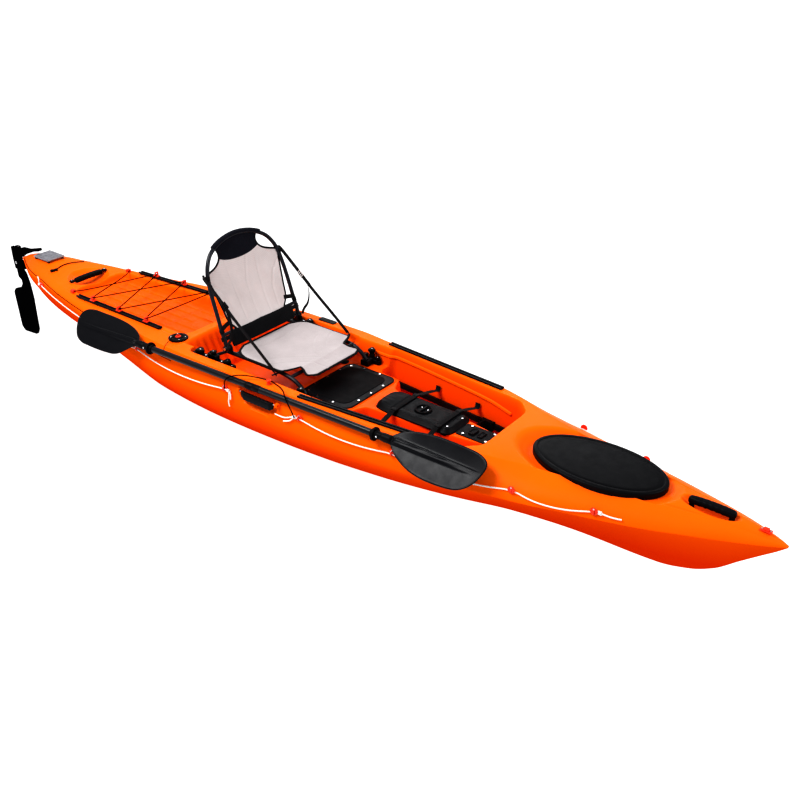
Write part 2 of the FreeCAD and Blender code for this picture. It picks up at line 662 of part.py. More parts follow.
pads, screws = [], []
for x in PADS:
    for sgn in (1, -1):
        px, py, dy = side_xy(x, PAD_Z, 11.0)
        yaw = math.degrees(math.atan(dy)) * sgn
        m = FreeCAD.Placement(V(px, sgn * py, PAD_Z), FreeCAD.Rotation(V(0, 0, 1), yaw))
        w = max(half_at(x + d, PAD_Z + e) for d in (-9, 0, 9) for e in (-13, 0, 13)) - half_at(x, PAD_Z) - 11.0 + 2.6
        lo, hi = (w, 10.0) if sgn > 0 else (-10.0, -w)
        b = Part.makeBox(16, hi - lo, 26, V(-8, lo, -13)).cut(Part.makeCylinder(8.4, 40, V(-20, 0, 0), V(1, 0, 0)))
        b = max(b.Solids, key=lambda q: q.Volume)
        sc = Part.makeCylinder(3.0, 2.0, V(0, 6.5 * sgn, 13), V(0, 0, 1))
        b.Placement = m
        sc.Placement = m
        pads.append(b)
        screws.append(sc)
group("deck_pad_eyes", pads)


def side_route(x0, x1, sag, step, zline, off, ends):
    """Points along the side from x0 to x1, standing off the plastic; the line sags between its pads."""
    n = max(3, int(round((x1 - x0) / step)))
    out = []
    for i in range(n + 1):
        t = i / n
        x = x0 + (x1 - x0) * t
        z = zline - sag * 4 * t * (1 - t)
        px, py, dy = side_xy(x, z, off)
        out.append((px, py, z))
    return out


def deck_line(stations, sag):
    pts = []
    for a, b in zip(stations, stations[1:]):
        seg = side_route(a, b, sag, 88.0, PAD_Z, 11.0, True)
        pts += seg if not pts else seg[1:]
    return pts


LINE_AFT = [(PADS[0] - 20, ) + side_xy(PADS[0] - 20, PAD_Z, 11.2)[1:2] + (PAD_Z + 0.4,)] + deck_line(PADS[0:3], 26.0) + \
           [(PADS[2] + 22, side_xy(PADS[2] + 22, PAD_Z, 11.6)[1], PAD_Z - 0.6)]
LINE_FWD = [(PADS[3] - 22, side_xy(PADS[3] - 22, PAD_Z, 11.6)[1], PAD_Z - 0.6)] + deck_line(PADS[3:7], 20.0) + \
           [(PADS[6] + 20, side_xy(PADS[6] + 20, PAD_Z, 11.2)[1], PAD_Z + 0.4)]
for nm, sgn in (("stbd", -1), ("port", 1)):
    for which, pts in (("aft", LINE_AFT), ("fwd", LINE_FWD)):
        feature("deck_line_%s_%s" % (nm, which), tube([(x, sgn * y, z) for x, y, z in pts], RR, "deck_line_%s_%s" % (nm, which)))

# rudder lines lie along the gunwale from the stern to a toggle beside the seat
RL_Z = [(64, 306), (200, 312), (430, 311), (700, 302), (1000, 297), (1250, 297), (1500, 300), (1740, 296)]
rl = []
n = 26
for i in range(n + 1):
    x = 64 + (1740 - 64) * i / n
    z = interp(RL_Z, x)
    px, py, dy = side_xy(x, z, 4.6)
    rl.append((px, py, z))
for nm, sgn in (("stbd", -1), ("port", 1)):
    feature("rudder_line_" + nm, tube([(x, sgn * y, z) for x, y, z in rl], S("line_radius"), "rudder_line_" + nm))

# bow pad eye
pz = deck_at(4400, 0) + 1.0
bp = box(4398, 4440, -9, 9, pz, pz + 5)
bp = bp.fuse(cyl((4410, 0, pz + 8), (4428, 0, pz + 8), 7.5)).cut(cyl((4400, 0, pz + 9.2), (4440, 0, pz + 9.2), 4.2)).removeSplitter()
feature("bow_pad_eye", bp)
for x in (4403, 4435):
    screws.append(cyl((x, 0, pz + 5), (x, 0, pz + 7), 3.6))

# ---------------------------------------------------------------- tracks
def rest_height(points, lift=0.8):
    return max(deck_at(x, y) for x, y in points) + lift


RT = {}
for nm, sgn in (("port", 1), ("stbd", -1)):
    za = rest_height([(830, 196), (830, 206), (1000, 206)], 1.2)
    zf = rest_height([(1505, 216), (1505, 226), (1505, 236)], 1.2)
    mid = (1167, sgn * 217.0, (za + zf) / 2 + 1.6)
    RT[nm] = (za, zf)
    track_body("rear_track_" + nm, "rear_track_length", mid, sgn * math.degrees(math.atan(20 / 675.0)), math.degrees(math.atan((zf - za) / 675.0)))
    zg = rest_height([(2510, 308), (2830, 280), (3165, 254)], 1.0)
    track_body("gunwale_track_" + nm, "gunwale_track_length", (2836, sgn * 293.0, zg), -sgn * math.degrees(math.atan(54 / 658.0)), 0.0)

# red eyes on the rear tracks for the lacing
EYES = []
for x, y in ((963, 0), (1181, 0), (1400, 0)):
    k = (x - 830) / 675.0
    za, zf = RT["port"]
    EYES.append((x, 207 + 20 * k, za + (zf - za) * k + 1.6 + S("track_height")))
ez = []
for sgn in (1, -1):
    for x, y, z in EYES:
        e = box(x - 17, x + 17, sgn * y - 10.5, sgn * y + 10.5, z + 0.6, z + 5)
        e = e.fuse(box(x - 4, x + 4, sgn * y - 10.5, sgn * y + 10.5, z + 4, z + 25))
        e = e.cut(cyl((x - 20, sgn * y, z + 14), (x + 20, sgn * y, z + 14), 6.8)).removeSplitter()
        ez.append(e)
    zz = rest_height([(752, 178), (752, 190), (740, 170), (764, 170), (752, 196)])
    e = box(742, 764, min(sgn * 175, sgn * 193), max(sgn * 175, sgn * 193), zz, zz + 14)
    e = e.cut(cyl((730, sgn * 184, zz + 7), (780, sgn * 184, zz + 7), 3.6))
    ez.append(e)
group("bungee_pad_eyes", ez)

# lacing over the tank well: one shock cord crossed from side to side, the returning leg above the first
def through(i, side, heading, dz):
    x, y, z = EYES[i]
    a = (x - 7.5 * heading, side * y, z + 14 + dz)
    b = (x + 7.5 * heading, side * y, z + 14 + dz)
    return [a, b]


LACE = [(750, -184, zz + 7), (786, -184, zz + 7.4)]
LACE += through(0, 1, 1, -3.0) + through(1, -1, 1, -3.0) + through(2, 1, 1, -3.0)
LACE += through(2, -1, -1, 3.0) + through(1, 1, -1, 3.0) + through(0, -1, -1, 3.0)
LACE += [(786, 184, zz + 7.4), (750, 184, zz + 7)]
feature("bungee_lacing", tube(LACE, S("bungee_radius"), "bungee_lacing"))

# ---------------------------------------------------------------- bolted plates
PS = []


def plate_screws(cx, cy, z, holes, thick):
    for x, y in holes:
        PS.append(cyl((cx + x, cy + y, z), (cx + x, cy + y, z + thick + 0.2), S("screw_shank_radius")).fuse(
            cyl((cx + x, cy + y, z + thick + 0.1), (cx + x, cy + y, z + thick + 0.1 + S("screw_head_height")), S("screw_head_radius"))).removeSplitter())


hs = [(sx * 60.0, sy * 46.0) for sx in (-1, 1) for sy in (-1, 1)]
plate_body("stern_plate", "stern_plate_width", "stern_plate_length", "stern_plate_thick", 9.0, hs, (288, 0, 361.0))
plate_screws(288, 0, 361.0, hs, S("stern_plate_thick"))
posts = []
for x, y in hs:
    zt = max(deck_at(288 + x + d, abs(y) + e) for d in (-7, 7) for e in (-7, 7)) + 1.8
    posts.append(cyl((288 + x, y, zt), (288 + x, y, 360.9), 7.0))
group("stern_plate_spacers", posts)

hc = [(sx * 128.0, sy * 86.0) for sx in (-1, 1) for sy in (-1, 0, 1)] + [(sx * 46.0, sy * 166.0) for sx in (-1, 1) for sy in (-1, 1)] + \
     [(-112.0, 148.0), (-112.0, -148.0)]
plate_body("console_plate", "console_plate_width", "console_plate_length", "console_plate_thick", 40.0, hc, (2518, 0, CONS_Z + 0.4))
plate_screws(2518, 0, CONS_Z + 0.4, hc, S("console_plate_thick"))
hf = [(sx * 56.0, sy * 36.0) for sx in (-1, 1) for sy in (-1, 1)]
plate_body("front_plate", "front_plate_width", "front_plate_length", "front_plate_thick", 8.0, hf, (3222, 0, CONS_Z + 0.4))
plate_screws(3222, 0, CONS_Z + 0.4, hf, S("front_plate_thick"))

# ---------------------------------------------------------------- gear pod and its two hold-down straps
pod = rbox(2738, 3112, -71, 71, 202, 262, 20)
rim = rbox(2716, 3134, -90, 90, CONS_Z + 0.6, 284, 36)
top_edges = [e for e in rim.Edges if abs(e.BoundBox.ZMin - 284) < 1e-4 and abs(e.BoundBox.ZMax - 284) < 1e-4]
rim = rim.makeFillet(9.0, top_edges)
pod = pod.fuse(box(2760, 3090, -60, 60, 255, 270)).fuse(rim).removeSplitter()
pod = pod.cut(rbox(2743, 3107, -66, 66, 207, 279, 16))
feature("gear_pod", pod)
cap = Part.makeCylinder(37, 7, V(2936, 0, 284.6)).cut(Part.makeCylinder(31, 4, V(2936, 0, 288.6)))
cap = cap.fuse(box(2932, 2940, -30, 30, 288.0, 291.6)).removeSplitter()
feature("gear_pod_cap", cap)
straps = []
for x in (2838, 3068):
    wall = 264 - 68 * (x - 2560) / 710.0 + 0.12 * (240 - FOOT_Z) - 6.0
    half = [(wall, 262), (wall, 238), (96, 286.2), (0, 287.2)]
    pts = half + [(-y, z) for y, z in reversed(half[:-1])]
    th = 2.0
    lower = [(y, z) for y, z in pts]
    upper = [(y - (th if y > 0 else -th) * (1 if i in (0, 1) else 0) * 0 , z + th) for i, (y, z) in enumerate(pts)]
    poly = [(wall, 262), (wall, 236), (96, 284.8), (-96, 284.8), (-wall, 236), (-wall, 262),
            (-wall + 2.2, 262), (-wall + 2.2, 238.5), (-95, 287.0), (95, 287.0), (wall - 2.2, 238.5), (wall - 2.2, 262)]
    straps.append(prism_yz(poly, x - 13, x + 13))
group("pod_straps", straps)

# ---------------------------------------------------------------- foot rails, braces and toe pedals
RAIL_Z = 190.0
RAIL = {}
for nm, sgn in (("port", 1), ("stbd", -1)):
    ang = math.degrees(math.atan(68.0 / 710.0))
    xm = 2925.0
    ym = 264 - 68 * (xm - 2560) / 710.0 + 0.12 * (RAIL_Z - 20 - FOOT_Z) - 12.0
    b = new_body("foot_rail_" + nm)
    s = sketch(b, "rail_" + nm + "_section")
    rect_sketch(s, "rail_height", "rail_length")
    pad(b, s, "rail_width", "rail_" + nm + "_pad")
    doc.recompute()
    rot = FreeCAD.Rotation(V(0, 0, 1), -sgn * ang)
    place(b, (xm, sgn * ym, RAIL_Z - 13), rot)
    parts.append(b)
    RAIL[nm] = (xm, sgn * ym, rot)
    # brace and pedal are drawn in the rail's own axes (u along the rail, w inboard), then turned with it
    P = FreeCAD.Placement(V(xm, sgn * ym, RAIL_Z), rot)
    w = -sgn

    def inb(a, b2):
        return sorted((w * a, w * b2))
    u0 = 215.0
    y0, y1 = inb(7.0, 16.0)
    c1 = box(u0 - 34, u0 + 34, y0, y1, -22, 22)
    y0, y1 = inb(-6.6, 8.0)
    c1 = c1.fuse(box(u0 - 34, u0 + 34, y0, y1, 14.0, 19.0)).fuse(box(u0 - 34, u0 + 34, y0, y1, -19.0, -14.0))
    y0, y1 = inb(14.0, 88.0)
    c1 = c1.fuse(box(u0 - 5, u0 + 5, y0, y1, -72, -10))
    y0, y1 = inb(14.0, 22.0)
    c1 = c1.fuse(box(u0 - 14, u0 + 14, y0, y1, -40, 10))
    ya, yb = inb(18.0, 26.0)
    yc, yd = inb(78.0, 86.0)
    for q0, q1 in ((ya, yb), (yc, yd)):
        c1 = c1.fuse(box(u0 - 8, u0 + 8, q0, q1, -12, 1.5)).fuse(cyl((u0, q0, 0), (u0, q1, 0), 8.0))
    c1 = c1.cut(cyl((u0, -200, 0), (u0, 200, 0), 3.06)).removeSplitter()
    y0, y1 = inb(27.0, 77.0)
    t1 = box(u0 - 4, u0 + 4, y0, y1, 0, 34).fuse(cyl((u0, y0, 0), (u0, y1, 0), 7.0))
    p0, p1 = inb(18.4, 85.6)
    t1 = t1.fuse(cyl((u0, p0, 0), (u0, p1, 0), 3.0)).removeSplitter()
    for nm2, shp in (("foot_brace_", c1), ("toe_pedal_", t1)):
        shp.Placement = P
        feature(nm2 + nm, shp)
    pp = P.multVec(V(u0, 0, 0))
    print("toe hinge", nm, round(pp.x, 3), round(pp.y, 3), round(pp.z, 3), "axis", rot.multVec(V(0, 1, 0)), "rail dir", rot.multVec(V(1, 0, 0)))

# ---------------------------------------------------------------- flush rod holders
for (base, axis), nm in zip(ROD, ("port", "stbd")):
    r0 = S("rod_holder_radius")
    rh = Part.makeCylinder(r0, S("rod_holder_depth") + 40, base + axis * 42 - axis * (S("rod_holder_depth") + 40), axis)
    zf = max(deck_at(base.x + a, abs(base.y) + b) for a in (-47, 0, 47) for b in (-47, 0, 47)) + 1.2
    fc = base + axis * ((zf - base.z) / axis.z)
    rh = rh.fuse(Part.makeCylinder(r0 + 18, 5, V(fc.x, fc.y, zf), V(0, 0, 1)))
    rh = rh.cut(Part.makeBox(300, 300, 100, V(fc.x - 150, fc.y - 150, zf + 5)))
    rh = rh.cut(Part.makeCylinder(r0 - 3, 300, base - axis * (S("rod_holder_depth") - 10 + 0), axis)).removeSplitter()
    feature("rod_holder_" + nm, rh)
    print("rod holder", nm, base, axis)

# ---------------------------------------------------------------- seat
TR = S("tube_radius")
BY, BZ = 212.0, 352.0
HX0, HZ0 = 1990.0, 386.0
base_sh = []
for sgn in (1, -1):
    pts = [(1948, sgn * BY, BZ), (2120, sgn * BY, BZ + 0.6), (2300, sgn * BY, BZ), (2380, sgn * BY, 338), (2424, sgn * BY, 312), (2446, sgn * BY, 288)]
    base_sh.append(tube(pts, TR))
    base_sh.append(box(HX0 - 14, HX0 + 14, min(sgn * 216, sgn * 222), max(sgn * 216, sgn * 222), BZ, HZ0 + 2).fuse(
        cyl((HX0, sgn * 216, HZ0), (HX0, sgn * 222, HZ0), 14)))
    base_sh.append(cyl((2297, sgn * BY, BZ - 2), (2297, sgn * 262, BZ + 3), 4.0))
    base_sh.append(cyl((1962, sgn * (BY - 2), BZ), (1940, sgn * 270, 347.5), TR - 2))
base_sh.append(cyl((2018, -BY, BZ), (2018, BY, BZ), TR - 1))
base_sh.append(cyl((2362, -BY, 344.5), (2362, BY, 344.5), TR - 1))
base = fuse(base_sh)
base = base.cut(cyl((HX0, -400, HZ0), (HX0, 400, HZ0), 4.0))
feature("seat_base_frame", base)

hoop_pts = [(1990, 240, 386), (1984, 240.5, 420), (1962, 240, 480), (1938, 238, 560), (1908, 235, 650), (1884, 222, 728), (1862, 182, 788), (1846, 104, 827), (1839, 0, 842)]
hoop_pts = hoop_pts + [(x, -y, z) for x, y, z in reversed(hoop_pts[:-1])]
hoop = tube(hoop_pts, TR)
back = fuse([hoop] + [cyl((HX0, sgn * 228.5, HZ0), (HX0, sgn * 251.5, HZ0), 14.0) for sgn in (1, -1)] +
            [cyl((1975.2, -236, 448), (1975.2, 236, 448), 8.0)])
back = back.cut(cyl((HX0, -400, HZ0), (HX0, 400, HZ0), 4.06))
feature("seat_back_frame", back)
group("seat_hinge_bolts", [fuse([cyl((HX0, sgn * 214, HZ0), (HX0, sgn * 256, HZ0), 4.0), cyl((HX0, sgn * 252.3, HZ0), (HX0, sgn * 257, HZ0), 8.0),
                                 cyl((HX0, sgn * 211, HZ0), (HX0, sgn * 215.8, HZ0), 8.0)]) for sgn in (1, -1)])

sl = [(2034, 238), (2300, 236), (2352, 200), (2388, 170), (2414, 150)]
zs = BZ + TR + 1.2
poly = [V(x, y, zs) for x, y in sl] + [V(x, -y, zs) for x, y in reversed(sl)]
feature("seat_sling", Part.Face(fillet_poly(poly, [14, 30, 20, 20, 8, 8, 20, 20, 30, 14])).extrude(V(0, 0, 6)))

# back fabric lies in the plane of the hoop
tilt = math.atan2(1975.2 - 1850.0, 790.0 - 448.0)
o = V(1975.2, 0, 448)
up, fw = V(-math.sin(tilt), 0, math.cos(tilt)), V(math.cos(tilt), 0, math.sin(tilt))
bl = [(150, 14), (216, 62), (216, 150), (206, 250), (150, 305), (112, 330), (96, 362)]
pts = [o + up * v + V(0, y, 0) - fw * 3.0 for y, v in bl] + [o + up * v + V(0, -y, 0) - fw * 3.0 for y, v in reversed(bl)]
bs = Part.Face(fillet_poly(pts, [16, 30, 60, 30, 20, 16, 10, 10, 16, 20, 30, 60, 30, 16])).extrude(fw * 6.0)
feature("back_sling", bs)
lb = [o + V(0, y, 0) + up * v + fw * 9.6 for y, v in ((-200, -60), (200, -60), (200, -4), (-200, -4))]
feature("lumbar_band", Part.Face(Part.makePolygon(lb + [lb[0]])).extrude(fw * 6.0))

st = []
for sgn in (1, -1):
    a, b = V(1888, 0, 700), V(2294, 0, 396)
    d = (b - a).normalize()
    n_ = V(d.z, 0, -d.x) * 11.0
    y0 = 256.5
    f = Part.Face(Part.makePolygon([a + n_ + V(0, sgn * y0, 0), b + n_ + V(0, sgn * y0, 0), b - n_ + V(0, sgn * y0, 0), a - n_ + V(0, sgn * y0, 0), a + n_ + V(0, sgn * y0, 0)]))
    st.append(f.extrude(V(0, sgn * 2.5, 0)))
group("seat_side_straps", st)

br = []
for sgn in (1, -1):
    y0, y1 = sorted((sgn * 266, sgn * 293))
    rear = box(1812, 2070, y0, y1, 316.6, 333).cut(cyl((1962, sgn * (BY - 2), BZ), (1940, sgn * 270, 347.5), TR + 3))
    rear = rear.fuse(cyl((1850, sgn * 279, 332), (1850, sgn * 279, 352), 13)).fuse(box(1915, 1965, min(sgn * 273, sgn * 292), max(sgn * 273, sgn * 292), 332, 356))
    br.append(rear.removeSplitter())
    y0, y1 = sorted((sgn * 196, sgn * 232))
    fr = box(2424, 2468, y0, y1, CONS_Z + 0.6, 286.5).cut(tube([(2380, sgn * BY, 338), (2424, sgn * BY, 312), (2446, sgn * BY, 288), (2458, sgn * BY, 268)], TR + 3.0))
    fr = fr.fuse(box(2380, 2424, min(sgn * 228, sgn * 246), max(sgn * 228, sgn * 246), CONS_Z + 0.6, 292)) if False else fr
    br.append(max(fr.Solids, key=lambda q: q.Volume))
    br.append(cyl((2452, sgn * 246, CONS_Z + 0.6), (2452, sgn * 246, 318), 11).fuse(box(2400, 2500, min(sgn * 237, sgn * 257), max(sgn * 237, sgn * 257), CONS_Z + 0.6, 282)).removeSplitter())
group("seat_brackets", br)

# ---------------------------------------------------------------- paddle, laid along the starboard gunwale
PM = V(2290, -375.0, 340.0)
pyaw = math.degrees(math.atan(0.0313))
prot = FreeCAD.Rotation(V(0, 0, 1), pyaw)
pd = prot.multVec(V(1, 0, 0))
b = new_body("paddle_shaft")
s = sketch(b, "shaft_section", "YZ_Plane")
circle_sketch(s, "shaft_radius")
p = pad(b, s, "shaft_length", "shaft_pad")
p.Midplane = True
doc.recompute()
s2 = sketch(b, "shaft_bore", "YZ_Plane")
circle_sketch(s2, "shaft_radius", offset=-2.0)
q = b.newObject("PartDesign::Pocket", "shaft_hollow")
q.Profile = s2
q.Type = 1
q.Midplane = True
doc.recompute()
assert q.Shape.Volume < p.Shape.Volume
place(b, (PM.x, PM.y, PM.z), prot)
parts.append(b)
rings = []
for k in (-1, 1):
    ring = Part.makeCylinder(S("drip_outer_radius"), S("drip_thickness"), PM + pd * (k * 660.0), pd).cut(
        Part.makeCylinder(S("shaft_radius") + 0.05, 60, PM + pd * (k * 660.0 - 20), pd))
    rings.append(ring)
group("paddle_drip_rings", rings)
BT = 33.0
for nm, k in (("aft", -1), ("fwd", 1)):
    L, W = S("blade_length"), S("blade_width")
    if k < 0:
        out = [(0, 15), (26, 17), (70, 54), (118, 71), (179, 83), (257, 90), (333, 91), (405, 90), (466, 72), (478, 50), (458, -12), (436, -44), (404, -76), (361, -94), (239, -98), (170, -95), (96, -79), (52, -38), (26, -17), (0, -15)]
    else:
        out = [(0, 15), (22, 18), (48, 46), (118, 76), (162, 84), (255, 88), (348, 85), (386, 80), (419, 69), (440, 54), (450, 34), (450, 8), (434, -45), (418, -66), (366, -96), (320, -102), (215, -102), (160, -92), (72, -54), (22, -17), (0, -15)]
    pts = [V(k * x, y, -3.0) for x, y in out]
    if k < 0:
        pts.reverse()
    bl = Part.Face(fillet_poly(pts, [0.5] + [8.0] * (len(pts) - 2) + [0.5])).extrude(V(0, 0, 6))
    spine = Part.makeCone(15.0, 4.0, 380, V(0, 0, 0), V(k, 0, 0))
    bl = bl.fuse(spine).removeSplitter()
    q = prot * FreeCAD.Rotation(V(1, 0, 0), BT)
    bl.Placement = FreeCAD.Placement(PM + pd * (k * (S("shaft_length") / 2 + 0.1)), q)
    feature("paddle_blade_" + nm, bl)
print("paddle axis", pd, "mid", PM)

# keeper for the paddle: a knob on the gunwale and a shock cord hooked over the shaft
kz = deck_at(2330, 322) + 0.8
revolve_body("keeper_knob", [(0, 0), (11, 0), (11, 3), (6, 5), (6, 13), (11.5, 16), (11.5, 20), (8, 22), (0, 22)], (2330, -319, kz))
KB = [(2128, -397, 289), (2134, -403, 318), (2146, -406, 344), (2166, -398, 362), (2190, -377, 369), (2222, -348, 366), (2268, -320, 358),
      (2320, -306.5, kz + 9.5), (2340, -306.5, kz + 9.3), (2392, -321, 358), (2440, -346, 366), (2478, -377, 369), (2508, -398, 362), (2530, -406, 344), (2543, -403, 318), (2549, -397, 289)]
feature("paddle_keeper", tube(KB, S("bungee_radius"), "paddle_keeper"))

# shock cord that holds the rudder down, across the stern deck
SB = []
for x, y in ((447, -84), (440, -52), (429, -18), (427, 18), (436, 54), (448, 88), (453, 112)):
    SB.append((x, y, deck_at(x, y) + 5.0))
feature("stern_bungee", tube(SB, S("bungee_radius"), "stern_bungee"))

# ---------------------------------------------------------------- rudder
PX = -12.0
lug = cyl((PX, 0, 297), (PX, 0, 335), 11).fuse(box(PX, 21, -9, 9, 297, 335)).fuse(box(PX, 34, -9, 9, 306, 335))
brk = prism_xz([(20, 303), (24, 303), (60, 323), (100, 338), (150, 360), (205, 374), (214, 384), (205, 391), (160, 378), (100, 362), (30, 356), (20, 335)], -11, 11)
brk = brk.fuse(lug).cut(cyl((PX, 0, 200), (PX, 0, 500), S("pin_radius") + S("pin_clearance"))).removeSplitter()
feature("rudder_bracket", brk)
b = new_body("rudder_pin")
s = sketch(b, "pin_section")
circle_sketch(s, "pin_radius")
p = pad(b, s, "86", "pin_pad")
doc.recompute()
place(b, (PX, 0, 272))
parts.append(b)
RTK, CT_ = S("rudder_thick"), S("cheek_thick")
y1, y2 = RTK / 2 + 0.5, RTK / 2 + 0.5 + CT_
hd = []
for sgn in (1, -1):
    a, c = sorted((sgn * y1, sgn * y2))
    hd.append(prism_xz([(-80, 336), (-46, 333), (-30, 333), (-30, 268), (8, 268), (8, 262), (12, 214), (-34, 200), (-74, 206), (-80, 262)], a, c))
hd.append(prism_xz([(-80, 340), (-46, 338), (-26, 358), (-2, 352), (-2, 338.5), (-30, 338.5), (-30, 292), (-44, 292), (-60, 300), (-80, 310)], -y2, y2))
hd.append(cyl((PX, 0, 338.5), (PX, 0, 353), 11.5).fuse(box(-40, PX, -y2, y2, 338.5, 352)))
hd.append(cyl((PX, 0, 273), (PX, 0, 293.5), 11.5).fuse(box(-34, PX, -y2, y2, 273, 293.5)))
head = fuse(hd)
head = head.cut(cyl((PX, 0, 200), (PX, 0, 500), S("pin_radius")))
PVX, PVZ = -52.0, 246.0
head = head.cut(cyl((PVX, -60, PVZ), (PVX, 60, PVZ), S("pin_radius") + S("pin_clearance")))
head = head.cut(cyl((PVX, -y1, PVZ), (PVX, y1, PVZ), 26.0))
feature("rudder_head", head)
ro = [(-72, 240), (-66, 150), (-40, 138), (-40, 112), (-62, 84), (-126, 62), (-150, 34), (-138, -190), (-112, -216), (14, -206), (36, -168), (42, 38), (32, 130), (14, 190), (-30, 236)]
rp = [V(x, -RTK / 2, z) for x, z in ro]
bl = Part.Face(fillet_poly(rp, [2, 12, 12, 16, 30, 20, 24, 14, 24, 24, 20, 60, 60, 30, 6])).extrude(V(0, RTK, 0))
bl = bl.fuse(cyl((PVX, -RTK / 2, PVZ), (PVX, RTK / 2, PVZ), 21.0)).removeSplitter()
bl = bl.fuse(cyl((PVX, -y2 - 3, PVZ), (PVX, y2 + 3, PVZ), S("pin_radius"))).removeSplitter()
feature("rudder_blade", bl)
group("rudder_pivot_nuts", [cyl((PVX, sgn * (y2 + 0.4), PVZ), (PVX, sgn * (y2 + 3.0), PVZ), 8.0).cut(cyl((PVX, -60, PVZ), (PVX, 60, PVZ), S("pin_radius"))) for sgn in (1, -1)])

# gunwale pad, port
gz = max(deck_at(x, y) for x in (2050, 2150) for y in (318, 348)) + 0.6
feature("gunwale_pad_port", rbox(2050, 2150, 318, 350, gz, gz + 4, 8))
group("deck_screws", screws)
group("plate_screws", PS)

# ---------------------------------------------------------------- checks and files
doc.recompute()
for obj in doc.Objects:
    if any(w in ("Invalid", "Error") for w in obj.State):
        raise ValueError("failed object: " + obj.Name)
os.makedirs("parts", exist_ok=True)
for f in os.listdir("parts"):
    if f.endswith(".step"):
        os.remove(os.path.join("parts", f))
names = set()
for p in parts:
    if p.Shape.isNull() or not p.Shape.isValid() or p.Shape.Volume <= 0:
        raise ValueError("bad shape: " + p.Label)
    if p.Label in names:
        raise ValueError("name used twice: " + p.Label)
    names.add(p.Label)
    p.Shape.exportStep("parts/%s.step" % p.Label)
print(len(parts), "sub-parts written")
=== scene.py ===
import bpy, bmesh, math, json
import numpy as np
from mathutils import Vector, Matrix

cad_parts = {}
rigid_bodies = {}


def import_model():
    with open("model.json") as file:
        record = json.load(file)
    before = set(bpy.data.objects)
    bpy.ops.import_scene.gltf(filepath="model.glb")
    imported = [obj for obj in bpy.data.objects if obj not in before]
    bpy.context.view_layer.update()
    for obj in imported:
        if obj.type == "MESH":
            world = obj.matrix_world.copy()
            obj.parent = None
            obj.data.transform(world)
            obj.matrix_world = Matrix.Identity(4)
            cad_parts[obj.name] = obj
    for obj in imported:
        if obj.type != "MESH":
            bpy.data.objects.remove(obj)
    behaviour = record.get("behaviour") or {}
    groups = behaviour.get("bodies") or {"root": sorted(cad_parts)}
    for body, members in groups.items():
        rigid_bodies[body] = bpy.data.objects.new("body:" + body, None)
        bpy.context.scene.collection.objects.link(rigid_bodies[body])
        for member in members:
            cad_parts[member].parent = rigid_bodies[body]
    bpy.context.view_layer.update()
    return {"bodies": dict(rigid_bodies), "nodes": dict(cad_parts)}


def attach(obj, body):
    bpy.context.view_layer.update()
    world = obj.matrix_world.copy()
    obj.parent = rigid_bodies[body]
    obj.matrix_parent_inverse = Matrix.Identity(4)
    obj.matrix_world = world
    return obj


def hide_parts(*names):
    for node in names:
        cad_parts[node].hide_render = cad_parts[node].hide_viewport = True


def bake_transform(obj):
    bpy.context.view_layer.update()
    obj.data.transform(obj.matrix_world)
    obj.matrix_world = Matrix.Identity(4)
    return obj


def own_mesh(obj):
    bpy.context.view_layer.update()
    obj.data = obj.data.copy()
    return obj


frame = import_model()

B = frame["bodies"]
N = frame["nodes"]
OX = -2.250


# ---------------------------------------------------------------- camera, floor and light
cam_d = bpy.data.cameras.new("view_camera")
cam_d.sensor_width = 36.0
cam_d.lens = 44.2
cam_d.clip_start = 0.05
cam = bpy.data.objects.new("view_camera", cam_d)
bpy.context.scene.collection.objects.link(cam)
yaw, pitch, roll = 2.225581, 0.5121057, 0.0011963
fwd = Vector((math.cos(yaw) * math.cos(pitch), math.sin(yaw) * math.cos(pitch), -math.sin(pitch)))
right = fwd.cross(Vector((0, 0, 1))).normalized()
upv = right.cross(fwd)
r2 = right * math.cos(roll) + upv * math.sin(roll)
u2 = upv * math.cos(roll) - right * math.sin(roll)
M = Matrix((r2, u2, -fwd)).transposed().to_4x4()
M.translation = Vector((2.83684, -2.96701, 2.39112))
cam.matrix_world = M
bpy.context.scene.camera = cam
bpy.context.scene.view_settings.view_transform = "Standard"
bpy.context.scene.view_settings.look = "High Contrast"

fm = bpy.data.meshes.new("floor")
S_ = 60.0
fm.from_pydata([(-S_, -S_, 0), (S_, -S_, 0), (S_, S_, 0), (-S_, S_, 0)], [], [(0, 1, 2, 3)])
floor = bpy.data.objects.new("floor", fm)
floor.location = (0, 0, -0.2235)
bpy.context.scene.collection.objects.link(floor)

world = bpy.data.worlds.new("studio")
bpy.context.scene.world = world
world.use_nodes = True
world.node_tree.nodes["Background"].inputs[0].default_value = (1.0, 1.0, 1.0, 1)
world.node_tree.nodes["Background"].inputs[1].default_value = 0.40


def area(name, loc, target, size, power, colour=(1, 1, 1)):
    d = bpy.data.lights.new(name, "AREA")
    d.shape = "RECTANGLE"
    d.size, d.size_y = size
    d.energy = power
    d.color = colour
    o = bpy.data.objects.new(name, d)
    o.location = loc
    o.rotation_euler = (Vector(target) - Vector(loc)).to_track_quat("-Z", "Y").to_euler()
    bpy.context.scene.collection.objects.link(o)
    return o


area("key_light", (-1.2, -2.2, 4.4), (0.1, 0, 0.2), (3.0, 1.6), 215)
area("fill_light", (4.6, 1.6, 3.6), (0.4, 0, 0.2), (2.2, 2.2), 95)
area("rim_light", (-2.5, 4.2, 3.2), (0, 0, 0.3), (4.5, 1.2), 60)


